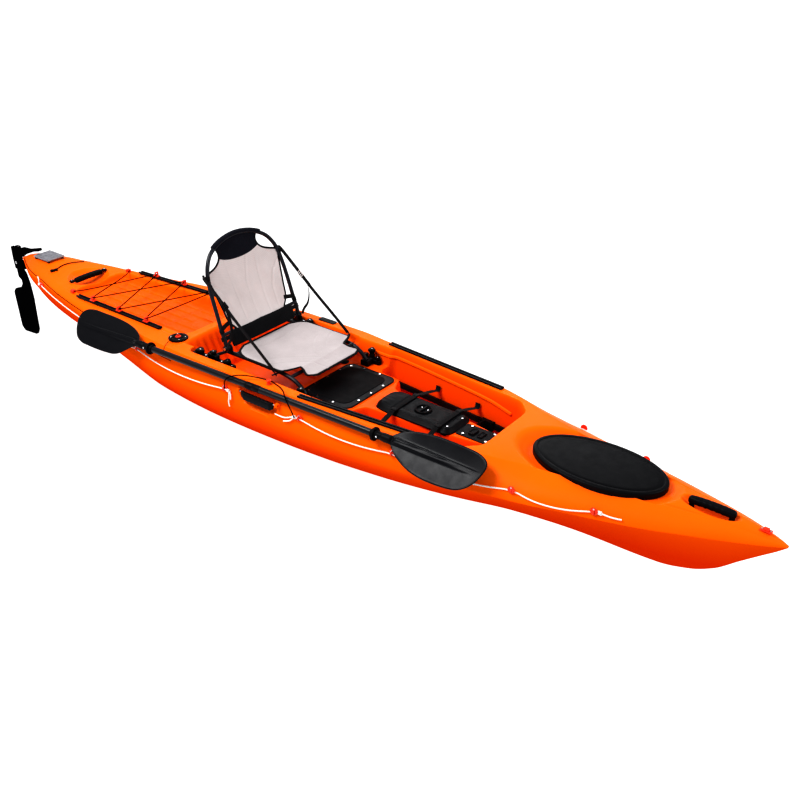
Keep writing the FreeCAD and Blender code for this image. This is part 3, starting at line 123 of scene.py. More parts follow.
# ---------------------------------------------------------------- materials
class Mat:
    """A small builder for node materials."""

    def __init__(self, name):
        self.m = bpy.data.materials.new(name)
        self.m.use_nodes = True
        self.t = self.m.node_tree
        self.b = self.t.nodes["Principled BSDF"]
        self.tc = self.t.nodes.new("ShaderNodeTexCoord")

    def node(self, kind, **kw):
        n = self.t.nodes.new(kind)
        for k, v in kw.items():
            if k in n.inputs:
                n.inputs[k].default_value = v
            else:
                setattr(n, k, v)
        return n

    def link(self, a, b):
        self.t.links.new(a, b)

    def mapping(self, scale=(1, 1, 1), rot=(0, 0, 0)):
        n = self.node("ShaderNodeMapping")
        n.inputs["Scale"].default_value = scale
        n.inputs["Rotation"].default_value = rot
        self.link(self.tc.outputs["Object"], n.inputs["Vector"])
        return n.outputs[0]

    def noise(self, scale, detail=4, rough=0.55, vec=None, distort=0.0):
        n = self.node("ShaderNodeTexNoise")
        n.inputs["Scale"].default_value = scale
        n.inputs["Detail"].default_value = detail
        n.inputs["Roughness"].default_value = rough
        n.inputs["Distortion"].default_value = distort
        self.link(vec or self.tc.outputs["Object"], n.inputs["Vector"])
        return n.outputs["Fac"]

    def ramp(self, fac, stops):
        n = self.node("ShaderNodeValToRGB")
        e = n.color_ramp.elements
        while len(e) < len(stops):
            e.new(0.5)
        for i, (p, c) in enumerate(stops):
            e[i].position = p
            e[i].color = tuple(c) + (1.0,) if len(c) == 3 else c
        self.link(fac, n.inputs["Fac"])
        return n.outputs["Color"]

    def maprange(self, fac, a, b, c, d):
        n = self.node("ShaderNodeMapRange")
        n.inputs["From Min"].default_value = a
        n.inputs["From Max"].default_value = b
        n.inputs["To Min"].default_value = c
        n.inputs["To Max"].default_value = d
        self.link(fac, n.inputs["Value"])
        return n.outputs[0]

    def math(self, op, a, b=None, clamp=False):
        n = self.node("ShaderNodeMath")
        n.operation = op
        n.use_clamp = clamp
        for i, v in enumerate((a, b)):
            if v is None:
                continue
            if isinstance(v, (int, float)):
                n.inputs[i].default_value = v
            else:
                self.link(v, n.inputs[i])
        return n.outputs[0]

    def mix(self, fac, a, b, kind="MIX"):
        n = self.node("ShaderNodeMix")
        n.data_type = "RGBA"
        n.blend_type = kind
        for sock, v in ((n.inputs[0], fac), (n.inputs[6], a), (n.inputs[7], b)):
            if isinstance(v, (int, float)):
                sock.default_value = v
            elif isinstance(v, tuple):
                sock.default_value = v + (1.0,) if len(v) == 3 else v
            else:
                self.link(v, sock)
        return n.outputs[2]

    def bump(self, height, strength, dist, prev=None):
        n = self.node("ShaderNodeBump")
        n.inputs["Strength"].default_value = strength
        n.inputs["Distance"].default_value = dist
        self.link(height, n.inputs["Height"])
        if prev is not None:
            self.link(prev, n.inputs["Normal"])
        return n.outputs[0]

    def put(self, **kw):
        for k, v in kw.items():
            s = self.b.inputs[k.replace("_", " ")]
            if isinstance(v, (int, float)):
                s.default_value = v
            elif isinstance(v, tuple):
                s.default_value = v + (1.0,) if (len(v) == 3 and len(s.default_value) == 4) else v
            else:
                self.link(v, s)
        return self


def plastic(name, c0, c1, rough, grain=900.0, bump=0.12, dist=0.0006, metal=0.0, coat=0.0, vary=3.0, sss=0.0, wear=None, spec=0.09):
    m = Mat(name)
    big = m.noise(vary, 3, 0.5)
    fine = m.noise(grain, 3, 0.6)
    col = m.ramp(big, [(0.3, c0), (0.7, c1)])
    if wear:
        geo = m.node("ShaderNodeNewGeometry")
        edge = m.maprange(geo.outputs["Pointiness"], 0.52, 0.60, 0.0, 1.0)
        n2 = m.noise(35.0, 5, 0.7)
        k = m.math("MULTIPLY", edge, m.maprange(n2, 0.45, 0.7, 0.0, 0.8), True)
        col = m.mix(k, col, wear)
    m.put(Base_Color=col, Roughness=m.maprange(m.noise(vary * 9, 4, 0.6), 0.3, 0.7, rough - 0.06, rough + 0.06), Metallic=metal,
          Specular_IOR_Level=spec, Normal=m.bump(fine, bump, dist))
    if coat:
        m.put(Coat_Weight=coat, Coat_Roughness=0.28)
    if sss:
        m.put(Subsurface_Weight=sss, Subsurface_Radius=(0.02, 0.006, 0.002), Subsurface_Scale=0.5)
    return m.m


def hull_material():
    m = Mat("hull_plastic")
    big = m.noise(2.2, 3, 0.5)
    speck = m.noise(420.0, 2, 0.5)
    peel = m.noise(160.0, 3, 0.55)
    # painted light and shade: the orange is painted lighter and yellower where the surface faces up and darker and
    # redder on the steep sides
    geo = m.node("ShaderNodeNewGeometry")
    nz = m.node("ShaderNodeSeparateXYZ")
    m.link(geo.outputs["Normal"], nz.inputs[0])
    up = m.maprange(nz.outputs["Z"], 0.0, 0.95, 0.0, 1.0)
    top = m.ramp(big, [(0.25, (0.98, 0.130, 0.0008)), (0.75, (1.0, 0.158, 0.0010))])
    side = m.ramp(big, [(0.25, (0.78, 0.044, 0.0004)), (0.75, (0.82, 0.052, 0.0005))])
    hx = m.node("ShaderNodeSeparateXYZ")
    m.link(m.tc.outputs["Object"], hx.inputs[0])
    # painted light: the sides are painted lighter higher up
    side = m.mix(m.maprange(hx.outputs["Z"], 0.10, 0.27, 0.0, 1.0), side, (0.97, 0.128, 0.0008))
    col = m.mix(up, side, top)
    # painted shade: surfaces that face down are painted darker
    down = m.maprange(nz.outputs["Z"], -0.05, -0.9, 0.0, 1.0)
    col = m.mix(down, col, (0.50, 0.030, 0.0003))
    # painted shade: recesses are painted darker and redder by their depth below the crown
    dep = m.node("ShaderNodeAttribute", attribute_name="depth")
    col = m.mix(m.maprange(dep.outputs["Fac"], 6.0, 46.0, 0.0, 0.42), col, (0.72, 0.030, 0.0003))
    col = m.mix(m.maprange(speck, 0.55, 0.8, 0.0, 0.10), col, (1.0, 0.20, 0.003))
    # scuffs: fine pale scratches that run along the boat, mostly low on the sides
    v = m.mapping((1.5, 60.0, 60.0))
    sc = m.noise(3.0, 6, 0.75, v)
    sx = m.node("ShaderNodeSeparateXYZ")
    m.link(m.tc.outputs["Object"], sx.inputs[0])
    low = m.maprange(sx.outputs["Z"], 0.02, 0.24, 0.30, 0.04)
    k = m.math("MULTIPLY", m.maprange(sc, 0.62, 0.74, 0.0, 1.0), low, True)
    col = m.mix(k, col, (1.0, 0.30, 0.06))
    # the darkening of the deep pockets above is painted shade; here the roughness varies and fine bumps are added
    rough = m.maprange(m.noise(26.0, 4, 0.6), 0.3, 0.7, 0.34, 0.46)
    n1 = m.bump(peel, 0.10, 0.0012)
    n2 = m.bump(speck, 0.10, 0.0004, n1)
    m.put(Base_Color=col, Roughness=rough, Normal=n2, Specular_IOR_Level=m.maprange(nz.outputs["Z"], 0.35, 0.9, 0.0, 0.07))
    return m.m


MAT = {
    "hull": hull_material(),
    "black": plastic("black_plastic", (0.0040, 0.0042, 0.0052), (0.0064, 0.0067, 0.0082), 0.46),
    "rubber": plastic("black_rubber", (0.0040, 0.0040, 0.0048), (0.0062, 0.0062, 0.0072), 0.62, 500.0, 0.12, 0.0005),
    "grip": plastic("handle_grip", (0.0040, 0.0040, 0.0050), (0.0062, 0.0062, 0.0080), 0.5, 700.0, 0.12, 0.0005),
    "gloss": plastic("black_gloss", (0.0035, 0.0036, 0.0052), (0.0060, 0.0064, 0.0088), 0.38, 800.0, 0.04, 0.0003, coat=0.07, spec=0.10),
    "rudder": plastic("rudder_plastic", (0.0014, 0.0014, 0.0018), (0.0024, 0.0025, 0.0032), 0.60, 800.0, 0.06, 0.0004, spec=0.0),
    "shaft": plastic("paddle_shaft_finish", (0.0060, 0.0064, 0.0085), (0.0090, 0.0096, 0.0125), 0.34, 1200.0, 0.02, 0.0001, coat=0.3),
    "red": plastic("red_plastic", (0.75, 0.035, 0.012), (0.85, 0.06, 0.02), 0.36, 900.0, 0.06, 0.0004, coat=0.3, sss=0.1),
    "anod": plastic("black_anodised", (0.0060, 0.0060, 0.0075), (0.0100, 0.0100, 0.0120), 0.42, 1500.0, 0.02, 0.0001),
    "tube": plastic("painted_tube", (0.0090, 0.0098, 0.0135), (0.0150, 0.0160, 0.0220), 0.32, 600.0, 0.02, 0.0001, coat=0.3),
    "steel": plastic("bright_screws", (0.62, 0.62, 0.64), (0.78, 0.78, 0.80), 0.24, 900.0, 0.05, 0.0002, metal=1.0),
    "strap": None,
}


def brushed_plate():
    m = Mat("grey_plate")
    v = m.mapping((900, 40, 40))
    n = m.noise(1.0, 3, 0.6, v)
    mott = m.noise(55.0, 5, 0.7)
    col = m.ramp(mott, [(0.35, (0.17, 0.17, 0.19)), (0.55, (0.30, 0.30, 0.33)), (0.75, (0.46, 0.46, 0.50))])
    m.put(Base_Color=col, Metallic=0.55, Roughness=m.maprange(n, 0.2, 0.8, 0.36, 0.55), Normal=m.bump(mott, 0.25, 0.0008))
    return m.m


MAT["plate"] = brushed_plate()


def weave(name, c0, c1, pitch, rot=(0, 0, 0), rough=0.85, plane="xy", height=0.35, sheen=0.3, tint=None):
    """Plain woven cloth: two wave textures at the real thread pitch (metres), with larger fading on top."""
    m = Mat(name)
    vec = m.mapping((1, 1, 1), rot)
    a = m.node("ShaderNodeTexWave", wave_type="BANDS", bands_direction="X", wave_profile="SIN")
    b = m.node("ShaderNodeTexWave", wave_type="BANDS", bands_direction="Y", wave_profile="SIN")
    for w in (a, b):
        w.inputs["Scale"].default_value = 0.05 / pitch * 2 * math.pi / 1.0
        w.inputs["Distortion"].default_value = 0.35
        w.inputs["Detail"].default_value = 1.0
        w.inputs["Detail Scale"].default_value = 1.2
        m.link(vec, w.inputs["Vector"])
    cross = m.math("MULTIPLY", a.outputs["Fac"], b.outputs["Fac"])
    cloud = m.noise(9.0, 5, 0.6)
    fine = m.noise(260.0, 3, 0.7)
    col = m.ramp(cloud, [(0.3, c0), (0.7, c1)])
    col = m.mix(m.math("MULTIPLY", cross, 0.5), col, tuple(min(1, x * 1.18) for x in c1))
    if tint:
        col = m.mix(m.maprange(fine, 0.5, 0.75, 0.0, 0.35), col, tint)
    n1 = m.bump(cross, height, pitch * 0.35)
    n2 = m.bump(cloud, 0.12, 0.004, n1)
    m.put(Base_Color=col, Roughness=rough, Normal=n2, Sheen_Weight=sheen, Sheen_Roughness=0.5, Specular_IOR_Level=0.12)
    return m.m


MAT["beige"] = weave("beige_mesh_fabric", (0.535, 0.482, 0.476), (0.615, 0.558, 0.552), 0.0022, tint=(0.70, 0.645, 0.64))
# painted shade: the seat gets the same mesh fabric as the back in a darker copy
MAT["beige_seat"] = weave("beige_mesh_fabric_seat_painted_shade", (0.345, 0.304, 0.306), (0.415, 0.368, 0.370), 0.0022, tint=(0.50, 0.447, 0.448))
MAT["binding"] = weave("black_binding", (0.0045, 0.0045, 0.0055), (0.0085, 0.0085, 0.0100), 0.0016, height=0.5, sheen=0.04)
MAT["strap"] = weave("black_webbing", (0.0050, 0.0050, 0.0058), (0.0095, 0.0095, 0.0110), 0.0020, rot=(0.0, 0.7, 0.78), height=0.6, sheen=0.04)
MAT["patch"] = weave("head_patch_fabric", (0.0050, 0.0055, 0.0100), (0.0090, 0.0096, 0.0160), 0.0012, height=0.4, sheen=0.04)
MAT["white"] = plastic("white_fittings", (0.74, 0.73, 0.72), (0.82, 0.81, 0.80), 0.4)
MAT["seam"] = weave("seam_thread", (0.30, 0.255, 0.25), (0.35, 0.30, 0.29), 0.0012)


def braid(name, c0, c1, fleck, pitch, sheen=0.3, spec=0.3):
    m = Mat(name)
    w = m.node("ShaderNodeTexWave", wave_type="BANDS", bands_direction="DIAGONAL", wave_profile="SIN")
    w.inputs["Scale"].default_value = 0.3 / pitch
    w.inputs["Distortion"].default_value = 1.5
    m.link(m.tc.outputs["Object"], w.inputs["Vector"])
    n = m.noise(520.0, 3, 0.6)
    col = m.ramp(w.outputs["Fac"], [(0.3, c0), (0.8, c1)])
    col = m.mix(m.maprange(n, 0.62, 0.7, 0.0, 0.7), col, fleck)
    m.put(Base_Color=col, Roughness=0.72, Normal=m.bump(w.outputs["Fac"], 0.6, 0.0008), Sheen_Weight=sheen, Specular_IOR_Level=spec)
    return m.m


MAT["rope"] = braid("white_rope", (0.74, 0.72, 0.70), (0.86, 0.85, 0.83), (0.62, 0.30, 0.26), 0.004)
MAT["bungee"] = braid("black_bungee", (0.0012, 0.0012, 0.0014), (0.0030, 0.0030, 0.0034), (0.008, 0.008, 0.009), 0.003, 0.0, 0.0)


def eva():
    m = Mat("deck_pad_texture")
    vo = m.node("ShaderNodeTexVoronoi")
    vo.inputs["Scale"].default_value = 260.0
    m.link(m.tc.outputs["Object"], vo.inputs["Vector"])
    col = m.ramp(vo.outputs["Distance"], [(0.0, (0.014, 0.014, 0.017)), (0.6, (0.0050, 0.0050, 0.0060))])
    big = m.noise(7.0, 3, 0.5)
    m.put(Base_Color=col, Roughness=m.maprange(big, 0.3, 0.7, 0.38, 0.52), Specular_IOR_Level=0.12, Normal=m.bump(vo.outputs["Distance"], 0.30, 0.0005))
    return m.m


MAT["stipple"] = eva()


def floor_material():
    m = Mat("pale_floor")
    n = m.noise(1.5, 2, 0.5)
    m.put(Base_Color=m.ramp(n, [(0.3, (0.30, 0.30, 0.30)), (0.7, (0.32, 0.32, 0.32))]), Roughness=0.9, Specular_IOR_Level=0.05,
          Emission_Color=(1.0, 1.0, 1.0), Emission_Strength=0.66)
    return m.m


fm.materials.append(floor_material())


def finish_piece(o, body, mat=None, smooth=True, angle=None):
    if mat is not None:
        o.data.materials.clear()
        o.data.materials.append(MAT[mat] if isinstance(mat, str) else mat)
    if smooth and o.type == "MESH":
        if angle is None:
            for p in o.data.polygons:
                p.use_smooth = True
        else:
            sharp_by_angle(o, angle)
    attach(o, body)
    return o


def sharp_by_angle(o, deg):
    me = o.data
    bm = bmesh.new()
    bm.from_mesh(me)
    lim = math.radians(deg)
    for e in bm.edges:
        e.smooth = not (len(e.link_faces) == 2 and e.calc_face_angle(0.0) > lim)
    for f in bm.faces:
        f.smooth = True
    bm.to_mesh(me)
    bm.free()


def new_obj(name, verts, faces):
    me = bpy.data.meshes.new(name)
    me.from_pydata([tuple(v) for v in verts], [], faces)
    me.validate()
    o = bpy.data.objects.new(name, me)
    bpy.context.scene.collection.objects.link(o)
    return o


def apply_mods(o):
    dg = bpy.context.evaluated_depsgraph_get()
    me = bpy.data.meshes.new_from_object(o.evaluated_get(dg))
    o.modifiers.clear()
    old = o.data
    o.data = me
    me.name = old.name
    return o


def join(name, objs):
    """One mesh object of several."""
    bm = bmesh.new()
    mats = []
    for o in objs:
        me = o.data
        if o.type != "MESH" or len(o.modifiers):
            dg = bpy.context.evaluated_depsgraph_get()
            me = bpy.data.meshes.new_from_object(o.evaluated_get(dg))
        me = me.copy()
        me.transform(o.matrix_world)
        idx = []
        for mt in me.materials:
            if mt not in mats:
                mats.append(mt)
            idx.append(mats.index(mt))
        if idx:
            for p in me.polygons:
                p.material_index = idx[min(p.material_index, len(idx) - 1)]
        bm.from_mesh(me)
    me = bpy.data.meshes.new(name)
    bm.to_mesh(me)
    bm.free()
    for mt in mats:
        me.materials.append(mt)
    for o in objs:
        bpy.data.objects.remove(o)
    o = bpy.data.objects.new(name, me)
    bpy.context.scene.collection.objects.link(o)
    return o


# ---------------------------------------------------------------- hull lines, the same tables as the CAD, in millimetres from the stern
def interp(table, x):
    t = np.array(table, float)
    xs, ys = t[:, 0], t[:, 1]
    dx = np.diff(xs)
    dl = np.diff(ys) / dx
    n = len(xs)
    sl = np.zeros(n)
    sl[0], sl[-1] = dl[0], dl[-1]
    for i in range(1, n - 1):
        if dl[i - 1] * dl[i] > 0:
            w1 = 2 * dx[i] + dx[i - 1]
            w2 = dx[i] + 2 * dx[i - 1]
            sl[i] = (w1 + w2) / (w1 / dl[i - 1] + w2 / dl[i])
    x = np.clip(np.asarray(x, float), xs[0], xs[-1])
    i = np.clip(np.searchsorted(xs, x, side="right") - 1, 0, n - 2)
    h = dx[i]
    u = (x - xs[i]) / h
    return ((2 * u ** 3 - 3 * u ** 2 + 1) * ys[i] + (u ** 3 - 2 * u ** 2 + u) * h * sl[i]
            + (-2 * u ** 3 + 3 * u ** 2) * ys[i + 1] + (u ** 3 - u ** 2) * h * sl[i + 1])


KEEL = [(26, 255), (36, 198), (60, 165), (130, 118), (200, 80), (300, 42), (400, 17), (520, 2), (700, -1.5),
        (3900, -1.5), (4050, 4), (4180, 34), (4270, 80), (4350, 150), (4420, 210), (4470, 252), (4500, 280)]
HALF = [(26, 9), (60, 24), (100, 45), (200, 98), (300, 138), (430, 166), (560, 200), (790, 248), (930, 273),
        (1070, 300), (1250, 335), (1450, 362), (1640, 380), (1930, 387), (2300, 390), (2660, 387), (2900, 375),
        (3200, 350), (3440, 315), (3610, 287), (3760, 250), (3900, 216), (4050, 178), (4200, 130), (4300, 95),
        (4420, 48), (4470, 24), (4500, 8)]
CHINE = [(26, 290), (100, 294), (300, 298), (430, 300), (560, 299), (790, 293), (930, 286), (1070, 276),
         (1250, 258), (1450, 236), (1640, 216), (1930, 205), (2300, 200), (2660, 201), (2900, 206), (3200, 220),
         (3440, 235), (3610, 243), (3760, 249), (3900, 254), (4050, 262), (4200, 272), (4300, 277), (4420, 283),
         (4500, 286)]
EDGE_Y = [(26, 6), (60, 16), (100, 30), (200, 68), (300, 98), (430, 124), (560, 156), (790, 212), (1000, 248),
          (1250, 292), (1500, 324), (1800, 346), (2000, 353), (2300, 353), (2500, 335), (2800, 315), (3030, 298),
          (3160, 282), (3260, 258), (3380, 219), (3480, 192), (3600, 165), (3760, 138), (3900, 118), (4050, 95),
          (4200, 65), (4300, 46), (4420, 23), (4470, 11), (4500, 4)]
EDGE_Z = [(26, 297), (60, 306), (100, 314), (200, 328), (300, 333), (430, 330), (560, 326), (790, 322), (1000, 325),
          (1250, 331), (1500, 336), (1800, 341), (2000, 343), (2300, 344), (3200, 344), (3400, 340), (3600, 334),
          (3900, 328), (4100, 322), (4300, 318), (4420, 306), (4470, 298), (4500, 290)]
CROWN_Z = [(26, 299), (60, 312), (100, 330), (200, 352), (300, 354), (400, 344), (500, 334), (650, 326), (790, 325),
           (1000, 330), (1250, 337), (1500, 342), (1800, 347), (2300, 349), (3200, 349), (3400, 347), (3600, 344),
           (3900, 338), (4100, 334), (4300, 328), (4420, 313), (4470, 301), (4500, 291)]
FULL = [(26, 1.1), (400, 1.3), (800, 1.55), (1300, 1.8), (1600, 2.2), (2000, 2.5), (2400, 2.3), (2750, 1.95),
        (3000, 1.72), (3300, 1.42), (3500, 1.22), (3800, 1.12), (4500, 1.08)]


def fillet_ring(pts, r, seg=7):
    """Closed outline with its corners rounded, as points."""
    pts = [np.array(p, float) for p in pts]
    n = len(pts)
    out = []
    for i in range(n):
        p, a, b = pts[i], pts[i - 1], pts[(i + 1) % n]
        u, w = (a - p) / np.linalg.norm(a - p), (b - p) / np.linalg.norm(b - p)
        ang = math.acos(max(-1, min(1, float(u @ w))))
        rr = r[i] if isinstance(r, (list, tuple)) else r
        d = rr / math.tan(ang / 2)
        m = (u + w) / np.linalg.norm(u + w)
        c = p + m * rr / math.sin(ang / 2)
        t1, t2 = p + u * d - c, p + w * d - c
        a1, a2 = math.atan2(t1[1], t1[0]), math.atan2(t2[1], t2[0])
        da = (a2 - a1 + math.pi) % (2 * math.pi) - math.pi
        for k in range(seg + 1):
            q = a1 + da * k / seg
            out.append(c + rr * np.array((math.cos(q), math.sin(q))))
    return np.array(out)


def sdf(px, py, ring):
    """Signed distance to a closed outline: negative inside."""
    best = np.full(px.shape, 1e9)
    inside = np.zeros(px.shape, bool)
    n = len(ring)
    for i in range(n):
        ax, ay = ring[i]
        bx, by = ring[(i + 1) % n]
        ex, ey = bx - ax, by - ay
        L2 = ex * ex + ey * ey
        if L2 < 1e-9:
            continue
        t = np.clip(((px - ax) * ex + (py - ay) * ey) / L2, 0, 1)
        d = np.hypot(px - (ax + t * ex), py - (ay + t * ey))
        np.minimum(best, d, out=best)
        if ay != by:
            cross = ((ay > py) != (by > py)) & (px < (bx - ax) * (py - ay) / (by - ay) + ax)
            inside ^= cross
    return np.where(inside, -best, best)


def smin(a, b, k):
    h = np.clip(k - np.abs(a - b), 0, None) / k
    return np.minimum(a, b) - h * h * k * 0.25


def smax(a, b, k):
    h = np.clip(k - np.abs(a - b), 0, None) / k
    return np.maximum(a, b) + h * h * k * 0.25


def bump1(t, w):
    """Smooth bump of half width w about t = 0."""
    q = np.clip(1 - (t / w) ** 2, 0, None)
    return q * q


def step(t, a, b):
    q = np.clip((t - a) / (b - a), 0, 1)
    return q * q * (3 - 2 * q)


def sym(out):
    return [(x, -w) for x, w in out] + [(x, w) for x, w in reversed(out)]


RINGS = {
    "seat": fillet_ring(sym([(1812, 256), (2338, 262)]), 34),
    "ledge": fillet_ring(sym([(1796, 297), (2350, 289)]), 26),
    "console": fillet_ring(sym([(2332, 262), (2700, 258), (3165, 214), (3322, 128)]), 22),
    "well": fillet_ring(sym([(742, 160), (1640, 182)]), 40),
    "pod": fillet_ring(sym([(2728, 77), (3122, 77)]), 22),
    "foot": fillet_ring([(2560, 214), (2672, 208), (2716, 122), (3110, 98), (3316, 66), (3316, 150), (3270, 196), (2560, 264)],
                        [16, 12, 14, 60, 20, 24, 24, 16]),
}
SEAT_Z, CONS_Z, FOOT_Z, WELL_Z = 175.0, 262.0, 95.0, 292.0
HX, HA, HB, HD = 3770.0, 278.0, 158.0, 316.0


def half_section(x):
    """Values of the section tables at stations x."""
    return {k: interp(t, x) for k, t in (("keel", KEEL), ("half", HALF), ("chine", CHINE), ("ey", EDGE_Y), ("ez", EDGE_Z), ("cz", CROWN_Z), ("n", FULL))}


def bottom_z(x, y):
    s = half_section(x)
    q = np.clip(np.abs(y) / s["half"], 0, 1)
    return s["chine"] - (s["chine"] - s["keel"]) * np.clip(1 - q ** s["n"], 0, 1) ** (1 / s["n"])


def crown(x, y):
    s = half_section(x)
    yg = np.minimum(s["ey"], s["half"] - 0.8)
    v = np.clip(np.abs(y) / yg, 0, 1)
    return s["ez"] + (s["cz"] - s["ez"]) * (1 - v ** 2.4)


def pan_h(px, py, ring, z, slope, k):
    d = sdf(px, py, ring)
    return smax(np.full(px.shape, z), z + d / slope, k)


def deck_height(px, py):
    """Height of the finished deck, recesses and all, at stations px and half breadths py (py >= 0)."""
    h = crown(px, py)
    # moulded relief of the decks: gunwale step along the rear well, crease lines on the foredeck
    rim = bump1(py - (interp([(700, 186), (1640, 232)], px)), 9.0) * step(px, 700, 760) * (1 - step(px, 1640, 1700))
    h = h - 2.5 * rim
    for yy, x0, x1 in (([(3300, 262), (3560, 188), (3900, 128), (4300, 52)], 3380, 4260), ([(3300, 240), (3560, 176), (3900, 108), (4300, 40)], 3950, 4250),
                       ([(3300, 262), (3560, 205), (3900, 143), (4300, 60)], 3900, 4300)):
        c = interp(yy, px)
        h = h - 2.2 * bump1(py - c, 7.0) * step(px, x0, x0 + 80) * (1 - step(px, x1 - 80, x1))
    # shallow dish round the hatch and its step
    q = np.hypot((px - HX) / (HA + 26), py / (HB + 22))
    dr = (q - 1.0) * (HB + 22)
    stepz = smax(np.full(px.shape, HD), HD + dr / 0.9, 14)
    h = smin(h, stepz, 12)
    # tank well with raised lengthwise ribs
    well = pan_h(px, py, RINGS["well"], WELL_Z, 0.35, 22)
    ribs = np.zeros(px.shape)
    for yc in (0.0, 58.0, 116.0):
        ribs = np.maximum(ribs, step(bump1(py - yc, 17.0), 0.0, 0.7))
    ribs = ribs * step(px, 790, 815) * (1 - step(px, 1590, 1615))
    for xc in (1010.0, 1210.0, 1410.0):
        ribs = ribs * (1 - bump1(px - xc, 16.0))
    # a moulded square at the front of the well
    sq = sdf(px, py, fillet_ring([(1500, -42), (1585, -42), (1585, 42), (1500, 42)], 12))
    sq_line = bump1(sq, 6.0)
    well = well + 5.0 * ribs * (sq > 8) + 3.5 * sq_line
    h = smin(h, well, 16)
    # seat area
    led = pan_h(px, py, RINGS["ledge"], 316.0, 0.25, 12)
    h = smin(h, led, 14)
    # fluted bulkhead that slopes from the rear deck into the seat pan
    ramp = 346.0 - (px - 1716.0) * 1.75 + 5.0 * np.cos(py / 41.0 * 2 * math.pi) * step(px, 1716, 1750)
    ramp = np.where(px < 1650, 1e3, ramp)
    rw = smax(ramp, 175.0 + (py - 236.0) / 0.14, 40)
    rw = smax(rw, np.full(px.shape, SEAT_Z), 60)
    rw = np.where(px > 1850, 1e3, rw)
    h = smin(h, rw, 22)
    seat = pan_h(px, py, RINGS["seat"], SEAT_Z, 0.10, 110)
    seat = seat + 6.0 * step(bump1(py - 92.0, 26.0), 0, 0.6) * step(px, 1870, 1900) * (1 - step(px, 2250, 2290))
    h = smin(h, seat, 34)
    # console deck and spine, with a step along the wall
    cons = pan_h(px, py, RINGS["console"], CONS_Z, 0.30, 18)
    h = smin(h, cons, 20)
    cf = sdf(px, py, fillet_ring([(2372, -196), (2664, -196), (2664, 196), (2372, 196)], 46))
    h = h - 3.0 * bump1(cf, 6.0) * (h < 285)
    foot = pan_h(px, py, RINGS["foot"], FOOT_Z, 0.12, 90)
    # foot rests moulded across the wells
    foot = foot + 7.0 * step(bump1(((px - 2760.0) % 96.0) - 48.0, 20.0), 0, 0.7) * (px > 2760) * (px < 3240) * (foot < FOOT_Z + 45)
    h = smin(h, foot, 30)
    pod = pan_h(px, py, RINGS["pod"], 199.0, 0.03, 60)
    h = smin(h, pod, 24)
    # scoops under the handles
    for cx, cz, a, b, c in ((640, 352, 118, 122, 62), (4218, 352, 120, 46, 60)):
        q = 1 - ((px - cx) / a) ** 2 - (py / b) ** 2
        z = np.where(q > 0, cz - c * np.sqrt(np.clip(q, 0, None)), cz + 60 * np.clip(-q, 0, 1))
        h = smin(h, z, 9)
    # the hatch's coaming and its opening
    d = (np.hypot((px - HX) / (HA - 19), py / (HB - 19)) - 1.0) * (HB - 19)
    lip = HD + 14.0 * step(bump1(d + 0.0, 7.5), 0.05, 0.45)
    h = np.where((q_in := (np.hypot((px - HX) / (HA + 8), py / (HB + 8)) < 1.0)), np.maximum(h, lip), h)
    dh = (np.hypot((px - HX) / (HA - 23), py / (HB - 23)) - 1.0) * (HB - 23)
    h = np.where(dh < 6, smin(h, smax(np.full(px.shape, 60.0), 60 + dh / 0.03, 60), 6), h)
    # rod holder seats: the depression is computed but scaled by zero, so the deck is left as it is
    dx, dy = px - 1668.0, py - 245.0
    u = dx * math.cos(0.35) - dy * math.sin(0.35)
    v = dx * math.sin(0.35) + dy * math.cos(0.35)
    q = np.hypot(u / 50.0, v / 44.0)
    h = h - 0.0 * q
    return np.maximum(h, bottom_z(px, py) + 8.0)


